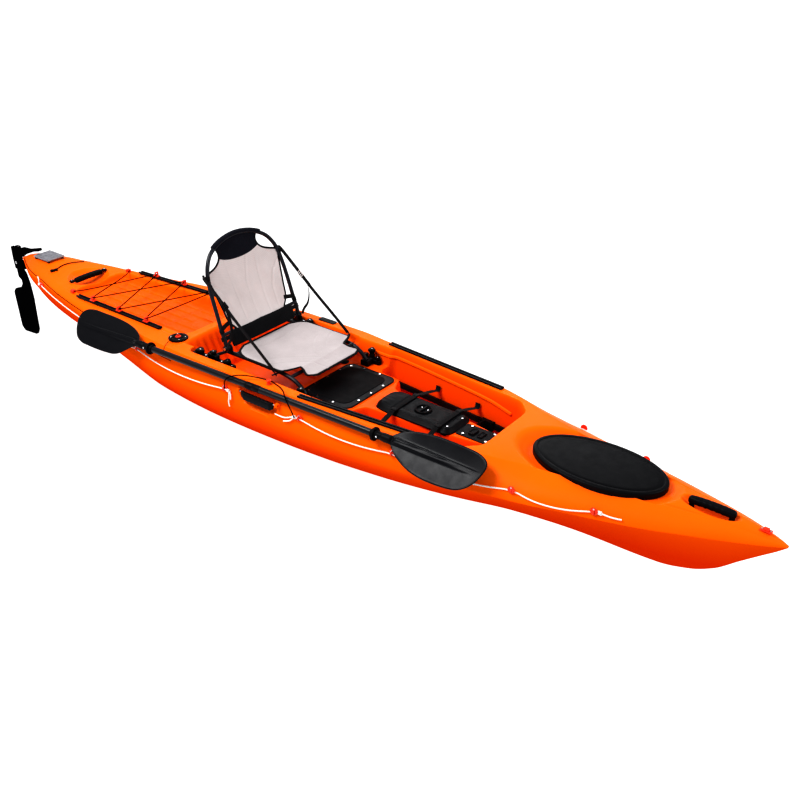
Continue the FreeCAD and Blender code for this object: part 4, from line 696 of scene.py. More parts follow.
def hull_mesh():
    # stations: close together where a wall crosses the boat
    dens = np.ones(4475)
    xs0 = np.arange(26, 4501)
    for c, w, g in ((742, 26, 2.0), (1640, 22, 2.0), (1716, 34, 1.0), (1760, 60, 1.2), (1800, 26, 2.6), (2338, 24, 3.0), (2560, 26, 3.0), (2690, 46, 2.6),
                    (2728, 20, 2.6), (3122, 20, 2.6), (3290, 40, 2.8), (3330, 36, 1.8), (3508, 46, 2.0), (4032, 50, 2.0), (4500, 60, 3.0), (40, 60, 3.0),
                    (520, 30, 1.0), (4218, 140, 0.8)):
        dens += g * np.exp(-((xs0 - c) / w) ** 2)
    cum = np.concatenate([[0], np.cumsum((dens[1:] + dens[:-1]) / 2)])
    rows = int(cum[-1] / 7.0)
    xs = np.interp(np.linspace(0, cum[-1], rows), cum, xs0)
    s = half_section(xs)
    yg = np.minimum(s["ey"], s["half"] - 0.8)
    COLS = 118
    F = 460
    vv = np.linspace(0, 1, F)
    PX = np.repeat(xs[:, None], F, 1)
    PY = yg[:, None] * vv[None, :]
    Hh = deck_height(PX, PY)
    # never above the crown, and the last few millimetres meet the gunwale
    edge_w = step(yg[:, None] - PY, 0.0, 5.0)
    Hh = crown(PX, PY) * (1 - edge_w) + Hh * edge_w
    dy = np.diff(PY, axis=1)
    dz = np.diff(Hh, axis=1)
    ds = np.hypot(dy, dz)
    tang = np.arctan2(dz, dy)
    kap = np.abs(np.diff(tang, axis=1)) / np.maximum((ds[:, 1:] + ds[:, :-1]) / 2, 0.05)
    kap = np.concatenate([kap[:, :1], kap], axis=1)
    w = ds * (1 + 16.0 * np.minimum(kap, 0.20)) + dy * 0.35
    # smooth the weights along the boat so that columns drift slowly
    ker = np.array([1, 2, 3, 2, 1], float)
    ker /= ker.sum()
    wp = np.pad(w, ((2, 2), (0, 0)), mode="edge")
    w = sum(ker[i] * wp[i:i + len(w)] for i in range(5))
    cw = np.concatenate([np.zeros((len(xs), 1)), np.cumsum(w, axis=1)], axis=1)
    U = np.linspace(0, 1, COLS)
    Y = np.zeros((len(xs), COLS))
    for i in range(len(xs)):
        Y[i] = np.interp(U * cw[i, -1], cw[i], PY[i])
    X = np.repeat(xs[:, None], COLS, 1)
    Z = deck_height(X, Y)
    edge_w = step(yg[:, None] - Y, 0.0, 5.0)
    Z = crown(X, Y) * (1 - edge_w) + Z * edge_w
    # sides and bottom
    a = np.linspace(0, math.pi / 2, 30)
    a = a[:-1]
    n = s["n"][:, None]
    yb = s["half"][:, None] * np.sin(a)[None, :] ** (2.0 / n)
    zb = s["chine"][:, None] - (s["chine"] - np.minimum(s["keel"], s["chine"] - 2))[:, None] * np.cos(a)[None, :] ** (2.0 / n)
    # points close together beside the chine, the corner point included
    t = np.array([0.0, 0.03, 0.08, 0.16, 0.26, 0.38, 0.5, 0.62, 0.74, 0.86, 0.94])
    cy = yg + (s["half"] - yg) * 0.80
    cz = s["chine"] + (s["ez"] - s["chine"]) * 0.66
    yt = (1 - t) ** 2 * s["half"][:, None] + 2 * t * (1 - t) * cy[:, None] + t * t * yg[:, None]
    zt = (1 - t) ** 2 * s["chine"][:, None] + 2 * t * (1 - t) * cz[:, None] + t * t * s["ez"][:, None]
    # join the bottom and topside points, none below z = 0
    YB = np.concatenate([yb, yt], axis=1)
    ZB = np.concatenate([zb, zt], axis=1)
    ZB = np.maximum(ZB, 0.0)
    XB = np.repeat(xs[:, None], YB.shape[1], 1)
    # handle scoops in the sides
    q = 1 - ((XB - 2320) / 118.0) ** 2 - ((ZB - 282) / 44.0) ** 2
    ys = np.where(q > 0, 392 - 60 * np.sqrt(np.clip(q, 0, None)), 392 + 80 * np.clip(-q, 0, 1))
    YB = np.where(YB > 250, smin(YB, ys, 7), YB)
    R, Cb = XB.shape
    # ring: keel -> chine -> gunwale (Cb points) then deck from the gunwale to the centreline (COLS points, reversed)
    # depth below the crown, and in the side scoops, stored as the depth attribute that the hull material turns into
    # painted shade
    DEP = np.maximum(crown(X, Y) - Z, 0.0)
    XR = np.concatenate([XB, X[:, ::-1]], axis=1)
    YR = np.concatenate([YB, Y[:, ::-1]], axis=1)
    ZR = np.concatenate([ZB, Z[:, ::-1]], axis=1)
    DR = np.concatenate([np.maximum(392.0 - YB, 0.0) * (q > 0) * (YB > 250) * 0.8, DEP[:, ::-1]], axis=1)
    YR[:, 0] = 0.0
    YR[:, -1] = 0.0
    C = XR.shape[1]
    # full ring: starboard mirrored
    XF = np.concatenate([XR, XR[:, -2:0:-1]], axis=1)
    YF = np.concatenate([YR, -YR[:, -2:0:-1]], axis=1)
    ZF = np.concatenate([ZR, ZR[:, -2:0:-1]], axis=1)
    DF = np.concatenate([DR, DR[:, -2:0:-1]], axis=1)
    K = XF.shape[1]
    verts = np.stack([XF, YF, ZF], axis=-1).reshape(-1, 3)
    i, j = np.meshgrid(np.arange(R - 1), np.arange(K), indexing="ij")
    j2 = (j + 1) % K
    quads = np.stack([i * K + j, (i + 1) * K + j, (i + 1) * K + j2, i * K + j2], axis=-1).reshape(-1, 4)
    nv = len(verts)
    tip = verts[(R - 1) * K:(R) * K].mean(axis=0) + np.array([4.0, 0, 0])
    tail = verts[:K].mean(axis=0) - np.array([3.0, 0, 0])
    verts = np.concatenate([verts, tip[None], tail[None]])
    tris = [((R - 1) * K + j, nv, (R - 1) * K + (j + 1) % K) for j in range(K)] + [(j, (j + 1) % K, nv + 1) for j in range(K)]
    verts = verts / 1000.0
    verts[:, 0] += OX
    me = bpy.data.meshes.new("hull")
    me.from_pydata(verts.tolist(), [], quads.tolist() + tris)
    me.update()
    at = me.attributes.new("depth", "FLOAT", "POINT")
    at.data.foreach_set("value", np.concatenate([DF.reshape(-1), [0.0, 0.0]]).astype(np.float32))
    o = bpy.data.objects.new("hull", me)
    bpy.context.scene.collection.objects.link(o)
    bm = bmesh.new()
    bm.from_mesh(me)
    bmesh.ops.remove_doubles(bm, verts=bm.verts, dist=0.00005)
    bmesh.ops.recalc_face_normals(bm, faces=bm.faces)
    bm.to_mesh(me)
    bm.free()
    return o


hull = hull_mesh()
finish_piece(hull, "hull", "hull", angle=42)
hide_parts("hull_shell")


# ---------------------------------------------------------------- cord routes: the same points as the CAD tubes, in metres
ROUTES = {
    "deck_line_stbd_aft": (0.003, [(-1.82, -0.17335, 0.2814), (-1.80279, -0.17815, 0.281), (-1.71614, -0.19998, 0.27306), (-1.62912, -0.21919, 0.26656), (-1.54231, -0.23697, 0.2615), (-1.4555, -0.25407, 0.25789), (-1.36872, -0.27018, 0.25572), (-1.28222, -0.28726, 0.255), (-1.1956, -0.30569, 0.25572), (-1.109, -0.32473, 0.25789), (-1.02159, -0.34217, 0.2615), (-0.93467, -0.35229, 0.26656), (-0.84774, -0.36043, 0.27306), (-0.76102, -0.36588, 0.281), (-0.67149, -0.37742, 0.26827), (-0.58181, -0.38436, 0.25978), (-0.49242, -0.38815, 0.25553), (-0.40308, -0.39012, 0.25553), (-0.31373, -0.3908, 0.25978), (-0.22436, -0.39002, 0.26827), (-0.13506, -0.38803, 0.281), (-0.113, -0.38874, 0.2804)]),
    "deck_line_stbd_fwd": (0.003, [(0.288, -0.38128, 0.2804), (0.31033, -0.38001, 0.281), (0.40629, -0.38154, 0.2682), (0.50254, -0.38015, 0.2618), (0.59864, -0.37485, 0.2618), (0.69467, -0.36679, 0.2682), (0.79084, -0.35517, 0.281), (0.87666, -0.35264, 0.26989), (0.96263, -0.34683, 0.26322), (1.04872, -0.33618, 0.261), (1.13441, -0.3213, 0.26322), (1.21993, -0.30389, 0.26989), (1.30582, -0.27988, 0.281), (1.38394, -0.27966, 0.266), (1.46204, -0.26512, 0.261), (1.5396, -0.24444, 0.266), (1.61725, -0.2164, 0.281), (1.635, -0.21241, 0.2814)]),
    "deck_line_port_aft": (0.003, [(-1.82, 0.17335, 0.2814), (-1.80279, 0.17815, 0.281), (-1.71614, 0.19998, 0.27306), (-1.62912, 0.21919, 0.26656), (-1.54231, 0.23697, 0.2615), (-1.4555, 0.25407, 0.25789), (-1.36872, 0.27018, 0.25572), (-1.28222, 0.28726, 0.255), (-1.1956, 0.30569, 0.25572), (-1.109, 0.32473, 0.25789), (-1.02159, 0.34217, 0.2615), (-0.93467, 0.35229, 0.26656), (-0.84774, 0.36043, 0.27306), (-0.76102, 0.36588, 0.281), (-0.67149, 0.37742, 0.26827), (-0.58181, 0.38436, 0.25978), (-0.49242, 0.38815, 0.25553), (-0.40308, 0.39012, 0.25553), (-0.31373, 0.3908, 0.25978), (-0.22436, 0.39002, 0.26827), (-0.13506, 0.38803, 0.281), (-0.113, 0.38874, 0.2804)]),
    "deck_line_port_fwd": (0.003, [(0.288, 0.38128, 0.2804), (0.31033, 0.38001, 0.281), (0.40629, 0.38154, 0.2682), (0.50254, 0.38015, 0.2618), (0.59864, 0.37485, 0.2618), (0.69467, 0.36679, 0.2682), (0.79084, 0.35517, 0.281), (0.87666, 0.35264, 0.26989), (0.96263, 0.34683, 0.26322), (1.04872, 0.33618, 0.261), (1.13441, 0.3213, 0.26322), (1.21993, 0.30389, 0.26989), (1.30582, 0.27988, 0.281), (1.38394, 0.27966, 0.266), (1.46204, 0.26512, 0.261), (1.5396, 0.24444, 0.266), (1.61725, 0.2164, 0.281), (1.635, 0.21241, 0.2814)]),
    "rudder_line_stbd": (0.0016, [(-2.18814, -0.02239, 0.306), (-2.12392, -0.05668, 0.30955), (-2.05906, -0.09039, 0.31197), (-1.99434, -0.11909, 0.31193), (-1.92923, -0.14013, 0.31168), (-1.86455, -0.15374, 0.31131), (-1.80029, -0.1679, 0.31075), (-1.73587, -0.1859, 0.30899), (-1.67129, -0.20354, 0.30637), (-1.60675, -0.21898, 0.30371), (-1.54223, -0.23276, 0.30181), (-1.47773, -0.24548, 0.30032), (-1.41319, -0.25722, 0.29891), (-1.34872, -0.26791, 0.29777), (-1.28426, -0.2787, 0.2971), (-1.21983, -0.28929, 0.297), (-1.15541, -0.30019, 0.297), (-1.09095, -0.31156, 0.297), (-1.02639, -0.32228, 0.297), (-0.96183, -0.33123, 0.29719), (-0.89729, -0.33876, 0.29811), (-0.83278, -0.3451, 0.29924), (-0.76827, -0.35102, 0.29996), (-0.70377, -0.35687, 0.29973), (-0.63922, -0.36226, 0.29868), (-0.57469, -0.36644, 0.29729), (-0.51018, -0.36982, 0.296)]),
    "rudder_line_port": (0.0016, [(-2.18814, 0.02239, 0.306), (-2.12392, 0.05668, 0.30955), (-2.05906, 0.09039, 0.31197), (-1.99434, 0.11909, 0.31193), (-1.92923, 0.14013, 0.31168), (-1.86455, 0.15374, 0.31131), (-1.80029, 0.1679, 0.31075), (-1.73587, 0.1859, 0.30899), (-1.67129, 0.20354, 0.30637), (-1.60675, 0.21898, 0.30371), (-1.54223, 0.23276, 0.30181), (-1.47773, 0.24548, 0.30032), (-1.41319, 0.25722, 0.29891), (-1.34872, 0.26791, 0.29777), (-1.28426, 0.2787, 0.2971), (-1.21983, 0.28929, 0.297), (-1.15541, 0.30019, 0.297), (-1.09095, 0.31156, 0.297), (-1.02639, 0.32228, 0.297), (-0.96183, 0.33123, 0.29719), (-0.89729, 0.33876, 0.29811), (-0.83278, 0.3451, 0.29924), (-0.76827, 0.35102, 0.29996), (-0.70377, 0.35687, 0.29973), (-0.63922, 0.36226, 0.29868), (-0.57469, 0.36644, 0.29729), (-0.51018, 0.36982, 0.296)]),
    "bungee_lacing": (0.0025, [(-1.5, -0.184, 0.3309), (-1.464, -0.184, 0.3313), (-1.2945, 0.21094, 0.35095), (-1.2795, 0.21094, 0.35095), (-1.0765, -0.2174, 0.35521), (-1.0615, -0.2174, 0.35521), (-0.8575, 0.22389, 0.3595), (-0.8425, 0.22389, 0.3595), (-0.8425, -0.22389, 0.3655), (-0.8575, -0.22389, 0.3655), (-1.0615, 0.2174, 0.36121), (-1.0765, 0.2174, 0.36121), (-1.2795, -0.21094, 0.35695), (-1.2945, -0.21094, 0.35695), (-1.464, 0.184, 0.3313), (-1.5, 0.184, 0.3309)]),
    "paddle_keeper": (0.0025, [(-0.122, -0.397, 0.289), (-0.116, -0.403, 0.318), (-0.104, -0.406, 0.344), (-0.084, -0.398, 0.362), (-0.06, -0.377, 0.369), (-0.028, -0.348, 0.366), (0.018, -0.32, 0.358), (0.07, -0.3065, 0.35508), (0.09, -0.3065, 0.35488), (0.142, -0.321, 0.358), (0.19, -0.346, 0.366), (0.228, -0.377, 0.369), (0.258, -0.398, 0.362), (0.28, -0.406, 0.344), (0.293, -0.403, 0.318), (0.299, -0.397, 0.289)]),
    "stern_bungee": (0.0025, [(-1.803, -0.084, 0.3404), (-1.81, -0.052, 0.34325), (-1.821, -0.018, 0.34559), (-1.823, 0.018, 0.3458), (-1.814, 0.054, 0.34346), (-1.802, 0.088, 0.33983), (-1.797, 0.112, 0.33652)]),
}


def nurbs(name, pts, r, mat, body="hull", res=8, caps=True, bevel=4):
    c = bpy.data.curves.new(name, "CURVE")
    c.dimensions = "3D"
    sp = c.splines.new("NURBS")
    sp.points.add(len(pts) - 1)
    for p, q in zip(sp.points, pts):
        p.co = (q[0], q[1], q[2], 1.0)
    sp.order_u = 3
    sp.use_endpoint_u = True
    c.resolution_u = res
    c.bevel_depth = r
    c.bevel_resolution = bevel
    c.use_fill_caps = caps
    o = bpy.data.objects.new(name, c)
    bpy.context.scene.collection.objects.link(o)
    c.materials.append(MAT[mat])
    if body:
        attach(o, body)
    return o


def lump(name, centre, r, squash=(1, 1, 1), seed=1, wrap=None):
    """A tied knot: overlapping turns of the same cord round a small core."""
    import random
    rnd = random.Random(seed)
    pts = []
    turns = 3
    for k in range(turns * 8 + 1):
        a = 2 * math.pi * k / 8
        t = k / (turns * 8.0)
        rr = r * 1.15 * (1 + 0.12 * rnd.uniform(-1, 1))
        pts.append((centre[0] + squash[0] * (t - 0.5) * 3.6 * r, centre[1] + squash[1] * rr * math.cos(a), centre[2] + squash[2] * rr * math.sin(a)))
    return pts


cords = {}
for nm in ROUTES:
    r, pts = ROUTES[nm]
    mat = "rope" if nm.startswith("deck_line") else "bungee"
    cords[nm] = nurbs(nm + "_cord", pts, r, mat, res=10)
    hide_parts(nm)

tails = {k: [] for k in ROUTES}


def curve_length(pts):
    """Length of the drawn curve through these control points, measured on a bare copy."""
    o = nurbs("measure", pts, 0.0, "rope", body=None, res=24)
    bpy.context.view_layer.update()
    me = bpy.data.meshes.new_from_object(o.evaluated_get(bpy.context.evaluated_depsgraph_get()))
    v = [q.co.copy() for q in me.vertices]
    L = sum((a - b).length for a, b in zip(v, v[1:]))
    bpy.data.meshes.remove(me)
    cd = o.data
    bpy.data.objects.remove(o)
    bpy.data.curves.remove(cd)
    return L


def tail(cord, name, pts, r, mat, slot="white_rope"):
    o = nurbs(name, pts, r, mat, res=8)
    curve_length(pts)
    return o


def knot(cord, name, c, r, mat, seed, direction=(1, 0, 0)):
    o = nurbs(name, lump(name, (0, 0, 0), r, seed=seed), r * 0.8, mat, body=None, res=6)
    q = Vector((1, 0, 0)).rotation_difference(Vector(direction).normalized())
    o.rotation_euler = q.to_euler()
    o.location = c
    bpy.context.view_layer.update()
    me = bpy.data.meshes.new_from_object(o.evaluated_get(bpy.context.evaluated_depsgraph_get()))
    me.transform(o.matrix_world)
    bpy.data.objects.remove(o)
    o2 = bpy.data.objects.new(name, me)
    bpy.context.scene.collection.objects.link(o2)
    finish_piece(o2, "hull", mat)
    tails[cord].append(o2)
    return o2


for side, sg in (("stbd", -1), ("port", 1)):
    ra, A = ROUTES["deck_line_%s_aft" % side]
    rf, F_ = ROUTES["deck_line_%s_fwd" % side]
    for tag, cordn, p, d in (("aft0", "deck_line_%s_aft" % side, A[0], -1), ("aft1", "deck_line_%s_aft" % side, A[-1], 1),
                             ("fwd0", "deck_line_%s_fwd" % side, F_[0], -1), ("fwd1", "deck_line_%s_fwd" % side, F_[-1], 1)):
        knot(cordn, "rope_knot_%s_%s" % (side, tag), (p[0] + 0.004 * d, p[1], p[2]), 0.0042, "rope", 3)
    e = A[-1]
    tail("deck_line_%s_aft" % side, "rope_tail_%s_1" % side, [(e[0] + .004, e[1], e[2]), (e[0] + .012, e[1] + sg * .003, e[2] - .008), (e[0] + .013, e[1] + sg * .006, e[2] - .03), (e[0] + .010, e[1] + sg * .010, e[2] - .052), (e[0] + .017, e[1] + sg * .011, e[2] - .072)], ra, "rope")
    tail("deck_line_%s_aft" % side, "rope_tail_%s_2" % side, [(e[0] + .006, e[1], e[2]), (e[0] + .018, e[1] + sg * .003, e[2] - .004), (e[0] + .024, e[1] + sg * .005, e[2] - .018), (e[0] + .023, e[1] + sg * .008, e[2] - .036)], ra, "rope")
    e = F_[0]
    tail("deck_line_%s_fwd" % side, "rope_tail_%s_3" % side, [(e[0] - .004, e[1], e[2]), (e[0] - .02, e[1] + sg * .003, e[2] - .004), (e[0] - .045, e[1] + sg * .005, e[2] - .016), (e[0] - .075, e[1] + sg * .006, e[2] - .022), (e[0] - .112, e[1] + sg * .006, e[2] - .019)], rf, "rope")
    tail("deck_line_%s_fwd" % side, "rope_tail_%s_4" % side, [(e[0] - .002, e[1], e[2]), (e[0] - .012, e[1] + sg * .003, e[2] - .010), (e[0] - .030, e[1] + sg * .006, e[2] - .028), (e[0] - .062, e[1] + sg * .008, e[2] - .036)], rf, "rope")
    e = F_[-1]
    tail("deck_line_%s_fwd" % side, "rope_tail_%s_5" % side, [(e[0] + .004, e[1], e[2]), (e[0] + .025, e[1] - sg * .003, e[2] - .003), (e[0] + .055, e[1] - sg * .009, e[2] - .006), (e[0] + .084, e[1] - sg * .016, e[2] - .004)], rf, "rope")
    e = A[0]
    tail("deck_line_%s_aft" % side, "rope_tail_%s_6" % side, [(e[0] - .002, e[1], e[2]), (e[0] - .010, e[1] + sg * .001, e[2] + .012), (e[0] - .006, e[1] - sg * .002, e[2] + .030), (e[0] - .018, e[1] - sg * .004, e[2] + .042)], ra, "rope")

for nm, o in cords.items():
    r, pts = ROUTES[nm]

# ---------------------------------------------------------------- finishes of the CAD pieces that stay
KEEP = {
    "hatch_gasket": "rubber", "rear_track_port": "anod", "rear_track_stbd": "anod", "gunwale_track_port": "anod", "gunwale_track_stbd": "anod",
    "stern_plate": "plate", "stern_plate_spacers": "black", "foot_rail_port": "anod", "foot_rail_stbd": "anod",
    "foot_brace_port": "black", "foot_brace_stbd": "black", "toe_pedal_port": "rubber", "toe_pedal_stbd": "rubber",
    "rod_holder_port": "black", "rod_holder_stbd": "black", "seat_base_frame": "tube", "seat_back_frame": "tube", "seat_hinge_bolts": "steel",
    "seat_brackets": "black", "paddle_shaft": "shaft", "paddle_drip_rings": "rubber", "keeper_knob": "red", "rudder_bracket": "rudder",
    "rudder_pin": "steel", "rudder_head": "rudder", "rudder_blade": "rudder", "rudder_pivot_nuts": "steel", "gunwale_pad_port": "stipple",
    "deck_screws": "steel", "plate_screws": "steel", "side_handle_anchors": "hull", "console_plate": "stipple", "front_plate": "black",
    "bow_pad_eye": "red", "bungee_pad_eyes": "red", "deck_pad_eyes": "red", "bow_handle": "grip", "stern_handle": "grip",
    "side_handle_port": "grip", "side_handle_stbd": "grip", "gear_pod": "black", "gear_pod_cap": "black", "pod_straps": "strap",
    "lumbar_band": "binding", "seat_sling": "beige", "back_sling": "beige", "seat_side_straps": "strap", "paddle_blade_aft": "gloss",
    "paddle_blade_fwd": "gloss", "bow_hatch_cover": "black",
}
SOFT_EDGE = {"rear_track_port": .8, "rear_track_stbd": .8, "gunwale_track_port": .8, "gunwale_track_stbd": .8, "stern_plate": 1.2, "foot_brace_port": 1.5,
             "foot_brace_stbd": 1.5, "toe_pedal_port": 2.0, "toe_pedal_stbd": 2.0, "foot_rail_port": 1.2, "foot_rail_stbd": 1.2, "seat_brackets": 2.0, "rudder_bracket": 2.0,
             "rudder_head": 1.2, "rudder_blade": 2.5, "console_plate": 1.0, "front_plate": 1.0, "side_handle_anchors": 2.5, "bungee_pad_eyes": 1.5, "deck_pad_eyes": 1.8,
             "bow_pad_eye": 1.5, "rod_holder_port": 1.2, "rod_holder_stbd": 1.2, "stern_plate_spacers": 1.0, "deck_screws": 0.9, "plate_screws": 0.9, "paddle_drip_rings": 2.0,
             "keeper_knob": 1.2, "gunwale_pad_port": 1.2, "hatch_gasket": 1.0, "gear_pod_cap": 1.0}
for nm, mt in KEEP.items():
    if nm not in N:
        continue
    o = N[nm]
    o.data.materials.clear()
    o.data.materials.append(MAT[mt])
    for p in o.data.polygons:
        p.use_smooth = True
    if nm in SOFT_EDGE:
        b = o.modifiers.new("soft_edges", "BEVEL")
        b.width = SOFT_EDGE[nm] / 1000.0
        b.segments = 2
        b.limit_method = "ANGLE"
        b.angle_limit = math.radians(35)
        b.harden_normals = False
    else:
        e = o.modifiers.new("edge_split", "EDGE_SPLIT")
        e.split_angle = math.radians(35)


# ---------------------------------------------------------------- seat: stretched mesh panels, bound edges, lumbar band and straps
TILT = math.atan2(125.2, 342.0)
BO = np.array([1975.2 / 1000 + OX, 0.0, 0.448])
BUP = np.array([-math.sin(TILT), 0, math.cos(TILT)])
BFW = np.array([math.cos(TILT), 0, math.sin(TILT)])


def row_sheet(name, rows, half, place_fn, cols, pins, warp=lambda v, t: v):
    """A panel whose half width is a function of its height; place_fn maps (y, v) to space. Returns the object, which
    holds the pin group, and its edge loop.
    """
    V_, F_ = [], []
    R = len(rows)
    for v in rows:
        for j in range(cols + 1):
            t = -1 + 2.0 * j / cols
            ve = warp(v, t)
            V_.append(place_fn(t * half(ve), ve, t))
    for i in range(R - 1):
        for j in range(cols):
            a = i * (cols + 1) + j
            F_.append((a, a + 1, a + cols + 2, a + cols + 1))
    o = new_obj(name, V_, F_)
    g = o.vertex_groups.new(name="pin")
    idx = pins(R, cols)
    g.add(idx, 1.0, "REPLACE")
    loop = [j for j in range(cols + 1)] + [i * (cols + 1) + cols for i in range(1, R)] + \
           [(R - 1) * (cols + 1) + j for j in range(cols - 1, -1, -1)] + [i * (cols + 1) for i in range(R - 2, 0, -1)]
    return o, loop


def drape(o, frames=22, mass=0.3, tension=60.0, bend=6.0, shrink=0.0, gravity=1.0):
    sc = bpy.context.scene
    m = o.modifiers.new("cloth", "CLOTH")
    st = m.settings
    st.quality = 7
    st.mass = mass
    st.tension_stiffness = tension
    st.compression_stiffness = tension
    st.shear_stiffness = tension * 0.4
    st.bending_stiffness = bend
    st.air_damping = 2.0
    st.vertex_group_mass = "pin"
    st.shrink_min = shrink
    st.effector_weights.gravity = gravity
    m.collision_settings.use_collision = False
    m.collision_settings.use_self_collision = False
    m.point_cache.frame_start = 1
    m.point_cache.frame_end = frames
    for f in range(1, frames + 1):
        sc.frame_set(f)
        bpy.context.view_layer.update()
    dg = bpy.context.evaluated_depsgraph_get()
    me = bpy.data.meshes.new_from_object(o.evaluated_get(dg))
    co = [v.co.copy() for v in me.vertices]
    o.modifiers.remove(m)
    for v, c in zip(o.data.vertices, co):
        v.co = c
    bpy.data.meshes.remove(me)
    sc.frame_set(1)
    return o


def smooth_mesh(o, n=2, keep=()):
    bm = bmesh.new()
    bm.from_mesh(o.data)
    bm.verts.ensure_lookup_table()
    kk = set(keep)
    vs = [v for v in bm.verts if v.index not in kk and not v.is_boundary]
    for _ in range(n):
        bmesh.ops.smooth_vert(bm, verts=vs, factor=0.5, use_axis_x=True, use_axis_y=True, use_axis_z=True)
    bm.to_mesh(o.data)
    bm.free()


def sweep(name, path, normals, prof, closed=False, mat="binding"):
    """A section swept along a path of points with a normal at each; prof lists (across, out)."""
    P = [Vector(p) for p in path]
    n = len(P)
    V_, F_ = [], []
    k = len(prof)
    for i in range(n):
        a = P[(i - 1) % n] if closed or i > 0 else P[i]
        b = P[(i + 1) % n] if closed or i < n - 1 else P[i]
        t = (b - a).normalized()
        nn = Vector(normals[i])
        nn = (nn - t * nn.dot(t)).normalized()
        s = t.cross(nn).normalized()
        for (u, w) in prof:
            V_.append(P[i] + s * u + nn * w)
    for i in range(n if closed else n - 1):
        i2 = (i + 1) % n
        for j in range(k):
            j2 = (j + 1) % k
            F_.append((i * k + j, i2 * k + j, i2 * k + j2, i * k + j2))
    if not closed:
        F_.append(tuple(range(k - 1, -1, -1)))
        F_.append(tuple((n - 1) * k + j for j in range(k)))
    o = new_obj(name, V_, F_)
    o.data.materials.append(MAT[mat])
    bm = bmesh.new()
    bm.from_mesh(o.data)
    bmesh.ops.recalc_face_normals(bm, faces=bm.faces)
    bm.to_mesh(o.data)
    bm.free()
    return o


def oval(a, b, n=10):
    return [(a * math.cos(2 * math.pi * i / n), b * math.sin(2 * math.pi * i / n)) for i in range(n)]


def flat(w, t, r=0.35):
    h = t / 2
    e = min(h, w * 0.2)
    return [(-w / 2, -h * .5), (-w / 2 + e, -h), (w / 2 - e, -h), (w / 2, -h * .5), (w / 2, h * .5), (w / 2 - e, h), (-w / 2 + e, h), (-w / 2, h * .5)]


def relax_path(pts, per=6):
    """Smooth a short list of points with a Catmull-Rom curve."""
    p = [Vector(q) for q in pts]
    p = [p[0] * 2 - p[1]] + p + [p[-1] * 2 - p[-2]]
    out = []
    for i in range(1, len(p) - 2):
        for k in range(per):
            t = k / per
            a, b, c, d = p[i - 1], p[i], p[i + 1], p[i + 2]
            out.append(0.5 * ((2 * b) + (-a + c) * t + (2 * a - 5 * b + 4 * c - d) * t * t + (-a + 3 * b - 3 * c + d) * t ** 3))
    out.append(p[-2])
    return out


def panel_normals(o, loop):
    return [o.data.vertices[i].normal.copy() for i in loop]


def seam_groove(o, curves, to_uv, width, depth, direction):
    """Presses sewn channels into a panel; curves are polylines in the panel's own (y, v)."""
    for v in o.data.vertices:
        y, w = to_uv(v.co)
        best = 1e9
        for c in curves:
            for (a0, a1), (b0, b1) in zip(c, c[1:]):
                ex, ey = b0 - a0, b1 - a1
                t = max(0, min(1, ((y - a0) * ex + (w - a1) * ey) / (ex * ex + ey * ey)))
                best = min(best, math.hypot(y - a0 - t * ex, w - a1 - t * ey))
        if best < width * 2.2:
            v.co += Vector(direction) * (-depth * math.exp(-(best / width) ** 2) * min(1.0, max(0.0, (w + 8) / 40.0)))


# --- back panel
BACK_W = [(-8, 152), (4, 158), (36, 182), (60, 192), (110, 199), (151, 206), (200, 214), (250, 223), (268, 229), (277, 226), (286, 200),
          (296, 170), (307, 147), (320, 131), (334, 122), (350, 119), (364, 122), (378, 130), (387, 133), (395, 122), (402, 107), (408, 92)]



def back_half(v):
    return float(interp(BACK_W, v)) / 1000.0


def back_place(y, v, t):
    v1 = v / 1000.0
    sag = -0.020 * (1 - t * t) * max(0.0, math.sin(math.pi * min(max((v + 8) / 410.0, 0), 1))) ** 0.6
    hoop = 0.010 * (abs(t) ** 6)
    p = BO + BUP * v1 + BFW * (0.0105 + sag - hoop * 0.6)
    return Vector((p[0], y, p[2]))


rows = [-8 + 416.0 * i / 80 for i in range(81)]
back, back_loop = row_sheet("back_panel", rows, back_half, back_place, 72,
                            lambda R, C: [j for j in range(C + 1)] + [(R - 1) * (C + 1) + j for j in range(C + 1)] +
                            [i * (C + 1) + e for i in range(R) for e in (0, C) if rows[i] < 281 or rows[i] > 392],
                            warp=lambda v, t: v + 24 * t * t * math.exp(-((v - 306) / 50.0) ** 2) * min(1.0, (408 - v) / 40.0))
drape(back, 20, tension=35.0, bend=1.5)
UVB = lambda co: (co.y * 1000, (Vector(co) - Vector(BO)).dot(Vector(BUP)) * 1000)
seam_groove(back, [[(96, 312), (84, 200), (78, 90), (76, -6)], [(-96, 312), (-84, 200), (-78, 90), (-76, -6)],
                   [(216, 236), (170, 190), (140, 120), (132, 40), (136, -4)], [(-216, 236), (-170, 190), (-140, 120), (-132, 40), (-136, -4)],
                   [(40, 306), (4, 190), (-2, 80), (0, -6)]], UVB, 4.5, 0.0026, BFW)
# the black head patch is the upper part of the same panel, in its own cloth
back.data.materials.append(MAT["beige"])
back.data.materials.append(MAT["patch"])
for p in back.data.polygons:
    p.material_index = 1 if rows[p.index // 72] > 303 else 0
sol = back.modifiers.new("thickness", "SOLIDIFY")
sol.thickness = 0.0022
sol.offset = 0.0
sub = back.modifiers.new("fine", "SUBSURF")
sub.levels = sub.render_levels = 1
for p in back.data.polygons:
    p.use_smooth = True
back_edge = [back.data.vertices[i].co.copy() for i in back_loop]
back_nrm = panel_normals(back, back_loop)
bind = sweep("back_binding", back_edge, back_nrm, oval(0.0052, 0.0030, 10), closed=True)
finish_piece(bind, "seat_back", None)
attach(back, "seat_back")
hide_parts("back_sling")

